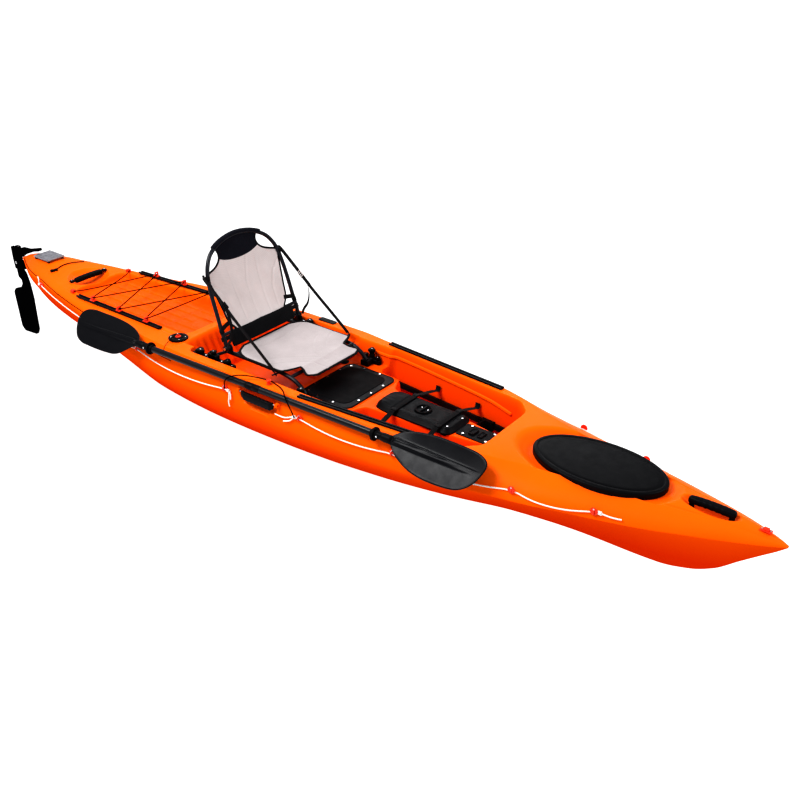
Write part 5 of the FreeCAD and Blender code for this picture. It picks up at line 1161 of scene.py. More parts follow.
# the patch's top is folded over the hoop: a sleeve that follows the tube
HOOP = [(1990, 240, 386), (1984, 240.5, 420), (1962, 240, 480), (1938, 238, 560), (1908, 235, 650), (1884, 222, 728), (1862, 182, 788), (1846, 104, 827), (1839, 0, 842)]
HOOP = HOOP + [(x, -y, z) for x, y, z in reversed(HOOP[:-1])]
HP = [Vector((x / 1000 + OX, y / 1000, z / 1000)) for x, y, z in HOOP]
hc = relax_path(HP, 16)


def sleeve(name, sel, r, mat, body="seat_back", wob=0.0):
    pts = [p for p in hc if sel(p)]
    nr = [Vector(BFW) for _ in pts]
    ring = []
    for i in range(14):
        a = 2 * math.pi * i / 14
        ring.append((r * math.cos(a), r * math.sin(a)))
    o = sweep(name, pts, nr, ring, mat=mat)
    for p in o.data.polygons:
        p.use_smooth = True
    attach(o, body)
    return o


sl_top = sleeve("head_sleeve", lambda p: abs(p.y) < 0.150 and p.z > 0.7, 0.0118, "patch")
for sg, nm in ((1, "port"), (-1, "stbd")):
    # cuffs where the bound corners meet the hoop
    sleeve("corner_cuff_" + nm, lambda p, s=sg: s * p.y > 0.2 and 0.688 < p.z < 0.712, 0.0112, "binding")
    sleeve("low_cuff_" + nm, lambda p, s=sg: s * p.y > 0.2 and 0.452 < p.z < 0.474, 0.0112, "binding")
    # a single short web from the panel's waist to the hoop
    a2 = Vector(back_place(sg * back_half(46), 46.0, sg * 1.0))
    near = min(hc, key=lambda p: abs(p.z - a2.z + 0.016) + (0 if p.y * sg > 0 else 9))
    path = relax_path([a2 - Vector((0, sg * .012, 0)), (a2 + near) / 2 + Vector(BFW) * 0.004, near + Vector(BFW) * 0.0105, near + Vector((0, sg * 0.0100, 0))], 4)
    w = sweep("panel_web_" + nm, path, [Vector(BFW)] * len(path), flat(0.020, 0.0016), mat="strap")
    finish_piece(w, "seat_back", None, angle=40)


# --- seat panel
def seat_half(x):
    return float(interp([(2008, 150), (2016, 168), (2040, 206), (2075, 226), (2110, 231), (2290, 231), (2322, 228), (2336, 214), (2343, 186), (2352, 160),
                         (2366, 150), (2384, 152), (2404, 162), (2424, 168), (2440, 158), (2448, 130)], x)) / 1000.0


def seat_place(y, x, t):
    u = (x - 2008) / 440.0
    z = 0.3720
    z -= 0.016 * (1 - t * t) * math.sin(math.pi * min(max(u, 0), 1)) ** 0.7
    over = max(0.0, abs(y) - 0.216)
    z -= over * over * 26.0
    z -= 0.020 * max(0.0, (x - 2392) / 56.0) ** 2
    return Vector((x / 1000 + OX, y, z))


rowx = [2008 + 440.0 * i / 84 for i in range(85)]
seat, seat_loop = row_sheet("seat_panel", rowx, seat_half, seat_place, 76,
                            lambda R, C: [i * (C + 1) + e for i in range(R) for e in (0, 1, 2, C - 2, C - 1, C) if rowx[i] < 2334] +
                            [j for j in range(C + 1)] + [i * (C + 1) + j for i in range(R) for j in range(C + 1) if 2360 < rowx[i] < 2366 or rowx[i] > 2436])
drape(seat, 20, tension=35.0, bend=1.5)
UVS = lambda co: (co.y * 1000, (co.x - OX) * 1000)
arc = lambda cy, cx, r, a0, a1, n=14: [(cy + r * math.cos(math.radians(a0 + (a1 - a0) * i / n)), cx + r * math.sin(math.radians(a0 + (a1 - a0) * i / n))) for i in range(n + 1)]
seam_groove(seat, [arc(-245, 2420, 190, -88, 8), arc(245, 2420, 190, 188, 268 + 0), arc(-245, 2420, 252, -70, -8), arc(245, 2420, 252, 188, 250),
                   [(-200, 2052), (-60, 2066), (60, 2066), (200, 2052)]], UVS, 4.5, 0.0026, (0, 0, 1))
# the seat's fabric is the darker copy of the back's mesh, painted shade
seat.data.materials.append(MAT["beige_seat"])
sol = seat.modifiers.new("thickness", "SOLIDIFY")
sol.thickness = 0.0024
sol.offset = 0.0
sub = seat.modifiers.new("fine", "SUBSURF")
sub.levels = sub.render_levels = 1
for p in seat.data.polygons:
    p.use_smooth = True
seat_edge = [seat.data.vertices[i].co.copy() for i in seat_loop]
sbind = sweep("seat_binding", seat_edge, panel_normals(seat, seat_loop), oval(0.0060, 0.0034, 10), closed=True)
finish_piece(sbind, "hull", None)
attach(seat, "hull")
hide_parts("seat_sling")


# --- lumbar band: a padded roll across the lower back
def padded_bar(name, c, ax, h, w, t, n=40, m=20, ends=0.12):
    """A crowned band: c centre, ax half length along y, h height direction, w half height, t half thickness."""
    V_, F_ = [], []
    for i in range(n + 1):
        s = -1 + 2.0 * i / n
        e = min(1.0, (1 - abs(s)) / ends)
        e = math.sqrt(max(0.0, 1 - (1 - e) ** 2)) * 0.5 + 0.5 if e < 1 else 1.0
        bulge = t * (0.78 + 0.22 * math.cos(s * math.pi * 0.5)) * (0.25 + 0.75 * e)
        for j in range(m):
            a = 2 * math.pi * j / m
            ca, sa = math.cos(a), math.sin(a)
            y = s * ax
            hh = w * (1 if abs(ca) > 1 else math.copysign(abs(ca) ** 0.6, ca)) * (0.90 + 0.10 * e)
            tt = bulge * math.copysign(abs(sa) ** 0.8, sa)
            crease = 0.0012 * math.exp(-(hh / 0.004) ** 2) * (1 if sa > 0 else 0)
            p = Vector(c) + Vector((0, y, 0)) + Vector(h) * hh + Vector(BFW) * (tt - crease)
            V_.append(p)
    for i in range(n):
        for j in range(m):
            a, b = i * m + j, i * m + (j + 1) % m
            F_.append((a, b, b + m, a + m))
    F_.append(tuple(range(m)))
    F_.append(tuple(n * m + j for j in range(m - 1, -1, -1)))
    o = new_obj(name, V_, F_)
    bm = bmesh.new()
    bm.from_mesh(o.data)
    bmesh.ops.recalc_face_normals(bm, faces=bm.faces)
    bm.to_mesh(o.data)
    bm.free()
    return o


lc = BO + BUP * (-0.0315) + BFW * 0.0145
lumbar = padded_bar("lumbar_pad", lc, 0.205, BUP, 0.0365, 0.0090, ends=0.06)
for o_, k in ((lumbar, 0),):
    for v in o_.data.vertices:
        v.co -= Vector(BFW) * 0.010 * (v.co.y / 0.2) ** 2
finish_piece(lumbar, "seat_back", "binding")
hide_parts("lumbar_band")
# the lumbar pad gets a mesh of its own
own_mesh(lumbar)
for sg, nm in ((1, "port"), (-1, "stbd")):
    wc = Vector(lc) + Vector(BUP) * 0.0135
    path = relax_path([wc + Vector((0, sg * 0.190, 0)) - Vector(BFW) * 0.012, wc + Vector((0, sg * 0.218, 0)) - Vector(BFW) * 0.008,
                       wc + Vector((0, sg * 0.250, 0)) - Vector(BFW) * 0.012, wc + Vector((0, sg * 0.253, 0)) - Vector(BFW) * 0.022], 5)
    w = sweep("lumbar_web_" + nm, path, [Vector(BFW) + Vector((0, sg * 0.5 * i / len(path), 0)) for i in range(len(path))], flat(0.020, 0.0022), mat="strap")
    finish_piece(w, "seat_back", None, angle=40)

# --- side straps with their buckles and hanging tails
for sg, nm in ((1, "port"), (-1, "stbd")):
    top = Vector((1890 / 1000 + OX, sg * 0.246, 0.704))
    low = Vector((2300 / 1000 + OX, sg * 0.252, 0.372))
    d = (low - top)
    pts = [top + Vector((-0.010, -sg * 0.010, 0.004)), top, top + d * 0.2, top + d * 0.5 + Vector((0, 0, -0.004)), top + d * 0.8, low]
    path = relax_path(pts, 14)
    side = Vector((0, sg, 0))
    st = sweep("side_strap_" + nm, path, [side] * len(path), flat(0.019, 0.0018), mat="strap")
    st2 = sweep("strap_fold", [p + side * 0.0022 for p in path[8:40]], [side] * 32, flat(0.019, 0.0018), mat="strap")
    st = join("side_strap_" + nm, [st, st2])
    sharp_by_angle(st, 40)
    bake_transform(st)
    # ladder-lock buckle, a third of the way down
    bp = top + d * 0.30 + side * 0.001
    bm_ = "white" if sg > 0 else "black"
    dn = d.normalized()
    up2 = dn.cross(side).normalized()
    bars = []
    for k, (u0, ln) in enumerate(((-0.013, 0.031), (-0.004, 0.029), (0.006, 0.029), (0.015, 0.031))):
        c = bp + dn * u0
        bars.append(sweep("b", [c - up2 * ln / 2, c + up2 * ln / 2], [side, side], oval(0.0024, 0.0046, 8), mat=bm_))
    for s2 in (-1, 1):
        c0, c1 = bp + up2 * s2 * 0.0145 - dn * 0.015, bp + up2 * s2 * 0.0145 + dn * 0.017
        bars.append(sweep("b", [c0, (c0 + c1) / 2, c1], [side] * 3, oval(0.0026, 0.0050, 8), mat=bm_))
    bk = join("strap_buckle_" + nm, bars)
    finish_piece(bk, "seat_back", bm_, angle=40)
    # tail of the webbing, hanging from the buckle to the hinge
    t0 = bp + dn * 0.014 + side * 0.003
    tl = relax_path([t0, t0 + Vector((0.018, sg * 0.004, -0.030)), t0 + Vector((0.030, sg * 0.006, -0.080)), t0 + Vector((0.022, sg * 0.004, -0.135)),
                     t0 + Vector((-0.004, sg * 0.002, -0.175)), t0 + Vector((-0.016, 0, -0.205))], 8)
    nn = [Vector((math.cos(0.5 + 1.4 * i / len(tl)), sg * math.sin(0.5 + 1.4 * i / len(tl)), 0)) for i in range(len(tl))]
    tw = sweep("strap_tail_" + nm, tl, nn, flat(0.013, 0.0013), mat="strap")
    finish_piece(tw, "seat_back", None, angle=40)
    # hook on the lower end
    hk = nurbs("strap_hook_" + nm, [tuple(low + Vector((-0.012, 0, 0.012))), tuple(low + Vector((0.002, sg * .004, 0.000))), tuple(low + Vector((0.012, sg * .002, -0.014))), tuple(low + Vector((0.006, -sg * .008, -0.026))), tuple(low + Vector((-0.006, -sg * .012, -0.020)))], 0.0028, "black", res=8)
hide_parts("seat_side_straps")


# ---------------------------------------------------------------- moulded fittings
OXM = 2.25


def loft(name, rings, cap=True):
    n = len(rings[0])
    v, f = [], []
    for r in rings:
        v += [Vector(p) for p in r]
    for i in range(len(rings) - 1):
        for j in range(n):
            a, b = i * n + j, i * n + (j + 1) % n
            f.append((a, b, b + n, a + n))
    if cap:
        f.append(tuple(range(n - 1, -1, -1)))
        f.append(tuple((len(rings) - 1) * n + j for j in range(n)))
    o = new_obj(name, v, f)
    tidy(o)
    return o


def tidy(o, dist=1e-6):
    bm = bmesh.new()
    bm.from_mesh(o.data)
    bmesh.ops.remove_doubles(bm, verts=bm.verts, dist=dist)
    bmesh.ops.recalc_face_normals(bm, faces=bm.faces)
    bm.to_mesh(o.data)
    bm.free()


def turned(name, prof, centre, axis=(0, 0, 1), n=48, wobble=None):
    """(radius, height) profile turned about an axis through the centre, in metres."""
    q = Vector((0, 0, 1)).rotation_difference(Vector(axis).normalized())
    rings = []
    for k, (r, h) in enumerate(prof):
        ring = []
        for j in range(n):
            a = 2 * math.pi * j / n
            rr = r * (1 + (wobble(a, r, h) if wobble else 0))
            ring.append(q @ Vector((rr * math.cos(a), rr * math.sin(a), h)) + Vector(centre))
        rings.append(ring)
    return loft(name, rings)


def prof_round(r, h0, h1, e, steps=4):
    """Turned profile of a disc from h0 to h1 with both rims rounded by e."""
    out = [(1e-5, h0), (r - e, h0)]
    for k in range(1, steps + 1):
        a = math.pi / 2 * k / steps
        out.append((r - e + e * math.sin(a), h0 + e - e * math.cos(a)))
    for k in range(0, steps + 1):
        a = math.pi / 2 * k / steps
        out.append((r - e + e * math.cos(a), h1 - e + e * math.sin(a)))
    out.append((1e-5, h1))
    return out


def lerp(a, b, t):
    return a + (b - a) * t


def sstep(a, b, x):
    t = min(1, max(0, (x - a) / (b - a)))
    return t * t * (3 - 2 * t)


def crom(pts, per=8, closed=True):
    n = len(pts)
    out = []
    for i in range(n if closed else n - 1):
        p0, p1, p2, p3 = [Vector(pts[(i + d) % n]) if closed else Vector(pts[min(n - 1, max(0, i + d))]) for d in (-1, 0, 1, 2)]
        for k in range(per):
            t = k / per
            out.append(0.5 * ((2 * p1) + (p2 - p0) * t + (2 * p0 - 5 * p1 + 4 * p2 - p3) * t * t + (3 * p1 - p0 - 3 * p2 + p3) * t ** 3))
    if not closed:
        out.append(Vector(pts[-1]))
    return out


# paddle blades: ribbed spine that fades to the tip, cupped faces, a raised rim
BLADES = {
    "aft": [(-6, 17), (10, 17.5), (26, 19), (38, 29), (48, 40), (70, 54), (118, 71), (179, 83), (257, 90), (333, 91), (405, 90), (440, 84), (466, 72), (478, 50), (474, 20), (458, -12), (436, -44), (404, -76), (361, -94),
            (313, -97), (239, -98), (170, -95), (128, -90), (96, -79), (72, -60), (52, -38), (40, -25), (26, -19), (10, -17.5), (-6, -17)],
    "fwd": [(-6, 17), (10, 17.5), (22, 20), (32, 31), (48, 46), (79, 62), (118, 76), (162, 84), (208, 88), (255, 88), (302, 87), (348, 85), (386, 80), (419, 69), (440, 54), (450, 34), (450, 8), (444, -20),
            (434, -45), (418, -66), (396, -84), (366, -96), (320, -102), (270, -104), (215, -102), (160, -92), (110, -74), (72, -54), (48, -34), (34, -22), (20, -18), (-6, -17)]}
P_MID = Vector((0.040, -0.375, 0.340))
P_YAW = math.atan(0.0313)
P_DIR = Vector((math.cos(P_YAW), math.sin(P_YAW), 0))
P_ROT = Matrix.Rotation(P_YAW, 3, "Z") @ Matrix.Rotation(math.radians(33.0), 3, "X")


def blade(nm, k):
    out = crom([(x, y, 0) for x, y in BLADES[nm]], 9)
    K = 26
    top, bot = [], []
    for i in range(K + 1):
        s = 1 - (i / K) ** 1.15
        rt, rb = [], []
        for p in out:
            c = Vector((min(max(p.x, 14.0), 400.0), 0, 0))
            q = c + (p - c) * s
            e = (p - q).length
            u, y = q.x, q.y
            half = 2.1 + 1.1 * math.exp(-((e - 3.0) / 2.6) ** 2) * sstep(50, 100, u)
            if i == 0:
                half = 1.0
            elif e < 2.5:
                half *= 0.75
            root = 1 - sstep(12, 52, u)
            run = 1 - sstep(330, 446, u)
            wide = lerp(13.0, 8.0, sstep(60, 430, u))
            yy = y + 6.0 * sstep(60, 400, u)
            band = 1 - sstep(wide - 3.5, wide + 3.5, abs(yy))
            ridge = run * (1 - root) * (lerp(11.0, 3.0, sstep(40, 400, u)) * band + 0.7 * band * math.cos(yy * 2 * math.pi / 6.0) + 2.2 * math.exp(-((yy + wide + 2) / 2.6) ** 2) - 1.4 * math.exp(-((yy - wide - 4) / 3.4) ** 2))
            sock = root * math.sqrt(max(0.0, 17.5 ** 2 - min(17.4, abs(y)) ** 2))
            cup = -11.0 * (abs(y) / 95.0) ** 1.25 * sstep(40, 150, u) * (1 - 0.45 * sstep(330, 450, u))
            wing = 0.0
            rt.append((u, y, cup + max(half * (1 - root) + ridge + wing, sock)))
            rb.append((u, y, cup - max(half * (1 - root) + ridge * 0.8 + wing * 0.5, sock)))
        top.append(rt)
        bot.append(rb)
    base = P_MID + P_DIR * (k * 0.7201)
    T = lambda q: P_ROT @ Vector((q[0] * k / 1000.0, q[1] / 1000.0, q[2] / 1000.0)) + base
    o = loft("paddle_blade_" + nm + "_shell", [[T(q) for q in r] for r in bot[::-1] + top], cap=False)
    tidy(o, 2e-5)
    finish_piece(o, "paddle", "gloss")
    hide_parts("paddle_blade_" + nm)
    # the socket collar where the blade slides on to the shaft
    c = turned("blade_collar_" + nm, [(0.0153, -0.050), (0.0168, -0.049), (0.0172, -0.046), (0.0172, -0.030), (0.0160, -0.027), (0.0160, -0.022), (0.0176, -0.018),
                                      (0.0182, -0.014), (0.0182, 0.020), (0.0172, 0.026), (0.0153, 0.028)], base, P_DIR * k)
    finish_piece(c, "paddle", "black", angle=40)
    b = turned("blade_button_" + nm, prof_round(0.0042, 0.0, 0.0042, 0.0012), base - P_DIR * (k * 0.036) + P_ROT @ Vector((0, -0.0125, 0.0105)), P_ROT @ Vector((0, -0.75, 0.66)), 20)
    finish_piece(b, "paddle", "steel")
    return o


blade("aft", -1)
blade("fwd", 1)

# ferrule at the middle of the two-piece shaft
fr = turned("shaft_ferrule", [(0.0151, -0.042), (0.0164, -0.040), (0.0168, -0.036), (0.0168, -0.004), (0.0160, -0.002), (0.0160, 0.002), (0.0168, 0.004), (0.0168, 0.036), (0.0164, 0.040),
                              (0.0151, 0.042)], P_MID, P_DIR)
finish_piece(fr, "paddle", "black", angle=40)
for k in (-1, 1):
    g = turned("drip_collar_%s" % ("fwd" if k > 0 else "aft"), [(0.0152, -0.013), (0.0185, -0.012), (0.0192, -0.008), (0.0205, -0.003), (0.0205, 0.010), (0.0192, 0.016), (0.0185, 0.020), (0.0152, 0.021)],
               P_MID + P_DIR * (k * 0.660), P_DIR)
    finish_piece(g, "paddle", "rubber", angle=50)


# bow hatch cover: a rolled skirt, a crowned lid and a shallow line round it
def ell(cx, a, b, z, n=160, amp=None):
    out = []
    for j in range(n):
        t = 2 * math.pi * j / n
        k = amp(t) if amp else 0.0
        out.append((((a + k) * math.cos(t) + cx) / 1000.0 - OXM, (b + k) * math.sin(t) / 1000.0, z / 1000.0))
    return out


HXs, HAs, HBs, HDs = 3770.0, 278.0, 158.0, 316.0
HT = HDs + 30.0
nick = lambda t: -1.6 * max(0.0, math.cos(t * 12)) ** 24
rings = [ell(HXs, HAs - 12, HBs - 12, HDs + 19.2), ell(HXs, HAs - 11.9, HBs - 11.9, HDs + 1.4), ell(HXs, HAs - 8, HBs - 8, HDs + 1.0), ell(HXs, HAs - 1.5, HBs - 1.5, HDs + 1.2, amp=nick),
         ell(HXs, HAs, HBs, HDs + 3.5, amp=nick), ell(HXs, HAs + 0.0, HBs + 0.0, HDs + 9, amp=nick), ell(HXs, HAs - 0.8, HBs - 0.8, HDs + 10.5), ell(HXs, HAs - 0.8, HBs - 0.8, HDs + 12), ell(HXs, HAs, HBs, HDs + 13.5),
         ell(HXs, HAs, HBs, HT - 7), ell(HXs, HAs - 0.7, HBs - 0.7, HT - 4.6), ell(HXs, HAs - 2.6, HBs - 2.6, HT - 2.4), ell(HXs, HAs - 5.4, HBs - 5.4, HT - 1.0), ell(HXs, HAs - 9, HBs - 9, HT - 0.4),
         ell(HXs, HAs - 15, HBs - 15, HT - 0.2), ell(HXs, HAs - 16.5, HBs - 16.5, HT - 0.6), ell(HXs, HAs - 17.5, HBs - 17.5, HT - 1.9), ell(HXs, HAs - 20, HBs - 20, HT - 2.2), ell(HXs, HAs - 22.5, HBs - 22.5, HT - 2.0),
         ell(HXs, HAs - 24, HBs - 24, HT - 1.0)]
for k in range(1, 13):
    s = 1 - k / 13.0
    d = 24 + (HBs - 24) * 0
    rings.append(ell(HXs, (HAs - 26) * s + 1, (HBs - 26) * s + 0.5, HT - 1.0 + 3.0 * (1 - s * s)))
under = [ell(HXs, max(2, (HAs - 12) * s), max(1, (HBs - 12) * s), HDs + 19.2) for s in (0.05, 0.5)]
o = loft("bow_hatch_cover_shell", under + rings)
finish_piece(o, "hatch_lid", MAT["black"], angle=42)
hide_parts("bow_hatch_cover")
for k, t in enumerate((-0.42, 0.42, math.pi - 0.42, math.pi + 0.42, -math.pi / 2, math.pi / 2)):
    pass


# ribbed grips
def grip_loop(nm, body, a, b, w, h, up, replaces, ribs=9, bow=0.006, feet=(0.02, 0.02), drop=0.016):
    """A moulded grip from a to b, oval w by h, a little bowed, with finger ribs; the feet argument is not used."""
    A, B = Vector(a), Vector(b)
    t = (B - A).normalized()
    U = (Vector(up) - t * Vector(up).dot(t)).normalized()
    S_ = t.cross(U)
    L = (B - A).length
    R_ = []
    n = 90
    for i in range(n + 1):
        s = i / n
        e = min(s, 1 - s) * L
        end = math.sqrt(max(0.0, 1 - max(0.0, 1 - e / 0.010) ** 2))
        rib = 1 + 0.055 * math.cos(2 * math.pi * ribs * s) * sstep(0.03, 0.05, e)
        wide = lerp(0.78, 1.0, sstep(0.0, 0.045, e))
        c = A + t * (L * s) + U * (bow * 4 * s * (1 - s) - drop * (1 - sstep(0, 0.02, e)) * 0.0)
        ring = []
        for j in range(28):
            q = 2 * math.pi * j / 28
            cx, cy = math.cos(q), math.sin(q)
            p = 0.72
            x = math.copysign(abs(cx) ** p, cx) * w / 2 * wide * max(end, 0.05) * rib
            y = math.copysign(abs(cy) ** p, cy) * h / 2 * max(end, 0.05) * (rib if cy < 0 else 1)
            ring.append(c + S_ * x + U * y)
        R_.append(ring)
    o = loft(nm, R_)
    finish_piece(o, body, "grip", angle=60)
    if replaces:
        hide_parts(replaces)
    return o


grip_loop("bow_grip", "hull", (4131 / 1000 - OXM, 0, 0.3335), (4311 / 1000 - OXM, 0, 0.3335), 0.034, 0.029, (0, 0, 1), "bow_handle", 8, bow=0.004)
for k, x in ((0, 4146), (1, 4296)):
    sgn = -1 if k == 0 else 1
    ft = loft("bow_grip_foot_%d" % k, [[((x + sgn * dx * c) / 1000 - OXM, w * s / 1000.0, z / 1000.0) for c, s in [(math.cos(2 * math.pi * j / 28), math.sin(2 * math.pi * j / 28)) for j in range(28)]]
                                       for dx, w, z in ((10, 10, 303.0), (10, 10, 318.0), (9, 9, 330.0), (7, 7, 333.0))])
    finish_piece(ft, "hull", "black", angle=50)

grip_loop("stern_grip", "hull", (640 / 1000 - OXM, -0.090, 0.3285), (640 / 1000 - OXM, 0.090, 0.3285), 0.036, 0.028, (0, 0, 1), "stern_handle", 8, bow=0.003)
for k in (-1, 1):
    ft = loft("stern_grip_foot_%s" % ("p" if k > 0 else "s"),
              [[((640 + w * math.copysign(abs(c) ** .6, c)) / 1000 - OXM, k * (105 + dy * math.copysign(abs(s) ** .6, s)) / 1000.0, z / 1000.0) for c, s in [(math.cos(2 * math.pi * j / 32), math.sin(2 * math.pi * j / 32)) for j in range(32)]]
               for w, dy, z in ((13, 13, 328.2), (14.5, 14, 329.6), (14.5, 14, 333.0), (12, 12, 337.6), (9, 9, 338.6), (1, 1, 338.8))])
    finish_piece(ft, "hull", "black", angle=50)
    sc = turned("stern_grip_screw_%s" % ("p" if k > 0 else "s"), prof_round(0.0042, 0.0, 0.0022, 0.0008), (640 / 1000 - OXM, k * 0.108, 0.3384), (0, 0, 1), 24)
    finish_piece(sc, "hull", "steel", angle=40)

# side handles: a deep moulded grip on its two pin ends
for sgn, nm in ((1, "port"), (-1, "stbd")):
    y = sgn * 0.386
    x0, x1 = 2222 / 1000 - OXM, 2418 / 1000 - OXM
    R_ = []
    n = 96
    for i in range(n + 1):
        s = i / n
        x = lerp(x0, x1, s)
        e = min(s, 1 - s) * (x1 - x0)
        end = math.sqrt(max(0.0, 1 - max(0.0, 1 - e / 0.007) ** 2))
        arm = 1 - sstep(0.006, 0.022, e)
        zc, hh = lerp(0.2865, 0.2930, arm), lerp(0.0195, 0.0170, arm)
        rib = 1 + 0.05 * math.cos(2 * math.pi * 9 * s) * sstep(0.025, 0.035, e)
        ring = []
        for j in range(28):
            q = 2 * math.pi * j / 28
            cx, cz = math.cos(q), math.sin(q)
            ring.append((x, y + math.copysign(abs(cx) ** .65, cx) * 0.0108 * lerp(1.0, 0.62, arm) * max(end, 0.04), zc + math.copysign(abs(cz) ** .65, cz) * hh * max(end, 0.04) * rib))
        R_.append(ring)
    o = loft("side_grip_" + nm, R_)
    finish_piece(o, nm + "_handle", "grip", angle=60)
    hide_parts("side_handle_" + nm)
    for k, (a, b) in enumerate(((2197, 2223), (2417, 2443))):
        p = turned("side_grip_pin_%s_%d" % (nm, k), [(1e-5, 0), (0.0024, 0.0002), (0.0025, 0.001), (0.0025, (b - a) / 1000.0 - .001), (1e-5, (b - a) / 1000.0)], (a / 1000 - OXM, y, 0.303), (1, 0, 0), 16)
        finish_piece(p, nm + "_handle", "steel", angle=40)

# ---------------------------------------------------------------- gear pod: rounded aft cap, ribbed strip and a dial
POD = [(2722, -46), (2717, 0), (2722, 46), (2744, 76), (2786, 88), (2850, 89.5), (2950, 89.5), (3050, 89.5), (3100, 88), (3124, 74), (3132, 44), (3133.5, 0), (3132, -44), (3124, -74), (3100, -88),
       (3050, -89.5), (2950, -89.5), (2850, -89.5), (2786, -88), (2744, -76)]


def pod_top(x, y, e):
    """Height of the pod's upper face at a point, e millimetres in from its rim."""
    z = 268 + 16.5 * sstep(0, 1, min(1, e / 22.0)) ** 0.8
    dome = 5.5 * math.exp(-((x - 2770) / 46.0) ** 2) * math.exp(-(y / 62.0) ** 4)
    z += dome
    z -= 3.0 * math.exp(-((x - 2822) / 5.0) ** 2) * sstep(4, 14, e)           # joint behind the aft cap
    z -= 2.4 * math.exp(-((x - 3088) / 4.5) ** 2) * sstep(4, 14, e)
    for k in range(5):                                                         # fluting on the aft cap
        yy = -48 + 24 * k
        z += 0.9 * math.exp(-((y - yy) / 5.0) ** 2) * (1 - sstep(2760, 2808, x)) * sstep(6, 20, e)
    d = math.hypot(x - 2936, y)
    z -= 1.8 * (1 - sstep(40, 44, d))
    # ribbed strip on the starboard half
    inx = min(sstep(2852, 2858, x), 1 - sstep(3052, 3058, x))
    iny = min(sstep(-76, -71, y), 1 - sstep(-44, -39, y))
    k = inx * iny
    z += k * (1.6 + 0.9 * (0.5 + 0.5 * math.cos((x - 2850) * 2 * math.pi / 15.0)) ** 3 * (0.5 + 0.5 * math.cos((y + 58) * 2 * math.pi / 17.0)))
    # shallow tray on the port half
    inx = min(sstep(2862, 2868, x), 1 - sstep(3040, 3046, x))
    iny = min(sstep(48, 53, y), 1 - sstep(72, 76, y))
    z -= 2.2 * inx * iny
    return z


def pod_mesh():
    out = crom([(x, y, 0) for x, y in POD], 12)
    K = 46
    rings = []
    skirt = [(0.0, 262.8), (0.0, 264.5), (0.0, 267.0)]
    rings.append([Vector((p.x, p.y, 262.8)) for p in out])
    rings.append([Vector((p.x, p.y, 266.5)) for p in out])
    for i in range(0, K + 1):
        s = 1 - (i / K) ** 1.3
        r = []
        for p in out:
            c = Vector((min(max(p.x, 2806.0), 3046.0), 0, 0))
            q = c + (p - c) * s
            e = (p - q).length
            r.append(Vector((q.x, q.y, max(267.0, pod_top(q.x, q.y, e)) if i else 268.0)))
        rings.append(r)
    return [[(v.x / 1000 - OXM, v.y / 1000, v.z / 1000) for v in r] for r in rings]


o = loft("gear_pod_lid", pod_mesh(), cap=False)
tidy(o, 3e-5)
finish_piece(o, "hull", "black", angle=55)
tub = loft("gear_pod_tub", [[((2925 + (a * math.copysign(abs(c) ** .35, c))) / 1000 - OXM, b * math.copysign(abs(s) ** .35, s) / 1000, z / 1000) for c, s in
                             [(math.cos(2 * math.pi * j / 72), math.sin(2 * math.pi * j / 72)) for j in range(72)]]
                            for a, b, z in ((178, 62, 203.0), (183, 68, 205.5), (186, 70.5, 211), (186.5, 70.8, 262.9), (198, 80, 263.2), (198, 80, 264.0))])
finish_piece(tub, "hull", "black", angle=40)
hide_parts("gear_pod")
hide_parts("gear_pod")
# dial: a knurled ring, a bar across it and three bright screws
DC = (2936 / 1000 - OXM, 0, 0.2832)
dial = turned("gear_pod_dial", [(1e-5, 0.0012), (0.0285, 0.0012), (0.0300, 0.0022), (0.0306, 0.0070), (0.0318, 0.0080), (0.0352, 0.0080), (0.0368, 0.0064), (0.0370, 0.0), (0.034, -0.0006), (1e-5, -0.0006)],
              DC, (0, 0, 1), 144, wobble=lambda a, r, h: (0.018 * math.cos(36 * a) if r > 0.036 else 0))
finish_piece(dial, "hull", "black", angle=40)
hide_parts("gear_pod_cap")
bar = loft("gear_pod_dial_bar", [[(DC[0] + u, DC[1] + v, DC[2] + h) for u, v in [(w * math.copysign(abs(math.cos(t)) ** .5, math.cos(t)), l * math.copysign(abs(math.sin(t)) ** .8, math.sin(t))) for t in [2 * math.pi * j / 40 for j in range(40)]]]
                                 for w, l, h in ((0.0062, 0.0285, 0.001), (0.0058, 0.0282, 0.006), (0.0046, 0.0272, 0.0082), (0.002, 0.024, 0.0086))])
finish_piece(bar, "hull", "black", angle=45)
for k in range(3):
    a = math.radians(20 + 120 * k)
    c = (DC[0] + 0.0205 * math.cos(a), DC[1] + 0.0205 * math.sin(a), DC[2] + 0.0010)
    sc = turned("gear_pod_screw_%d" % k, prof_round(0.0034, 0.0, 0.0022, 0.0008), c, (0, 0, 1), 24)
    finish_piece(sc, "hull", "steel", angle=40)
for k, (x, y) in enumerate(((3098, -52), (3112, 40), (2836, -92))):
    if k == 2:
        continue
    sc = turned("gear_pod_rim_screw_%d" % k, prof_round(0.0042, 0.0, 0.0026, 0.0009), (x / 1000 - OXM, y / 1000, (pod_top(x, y, 20) - 0.6) / 1000), (0, 0, 1), 24)
    finish_piece(sc, "hull", "steel", angle=40)

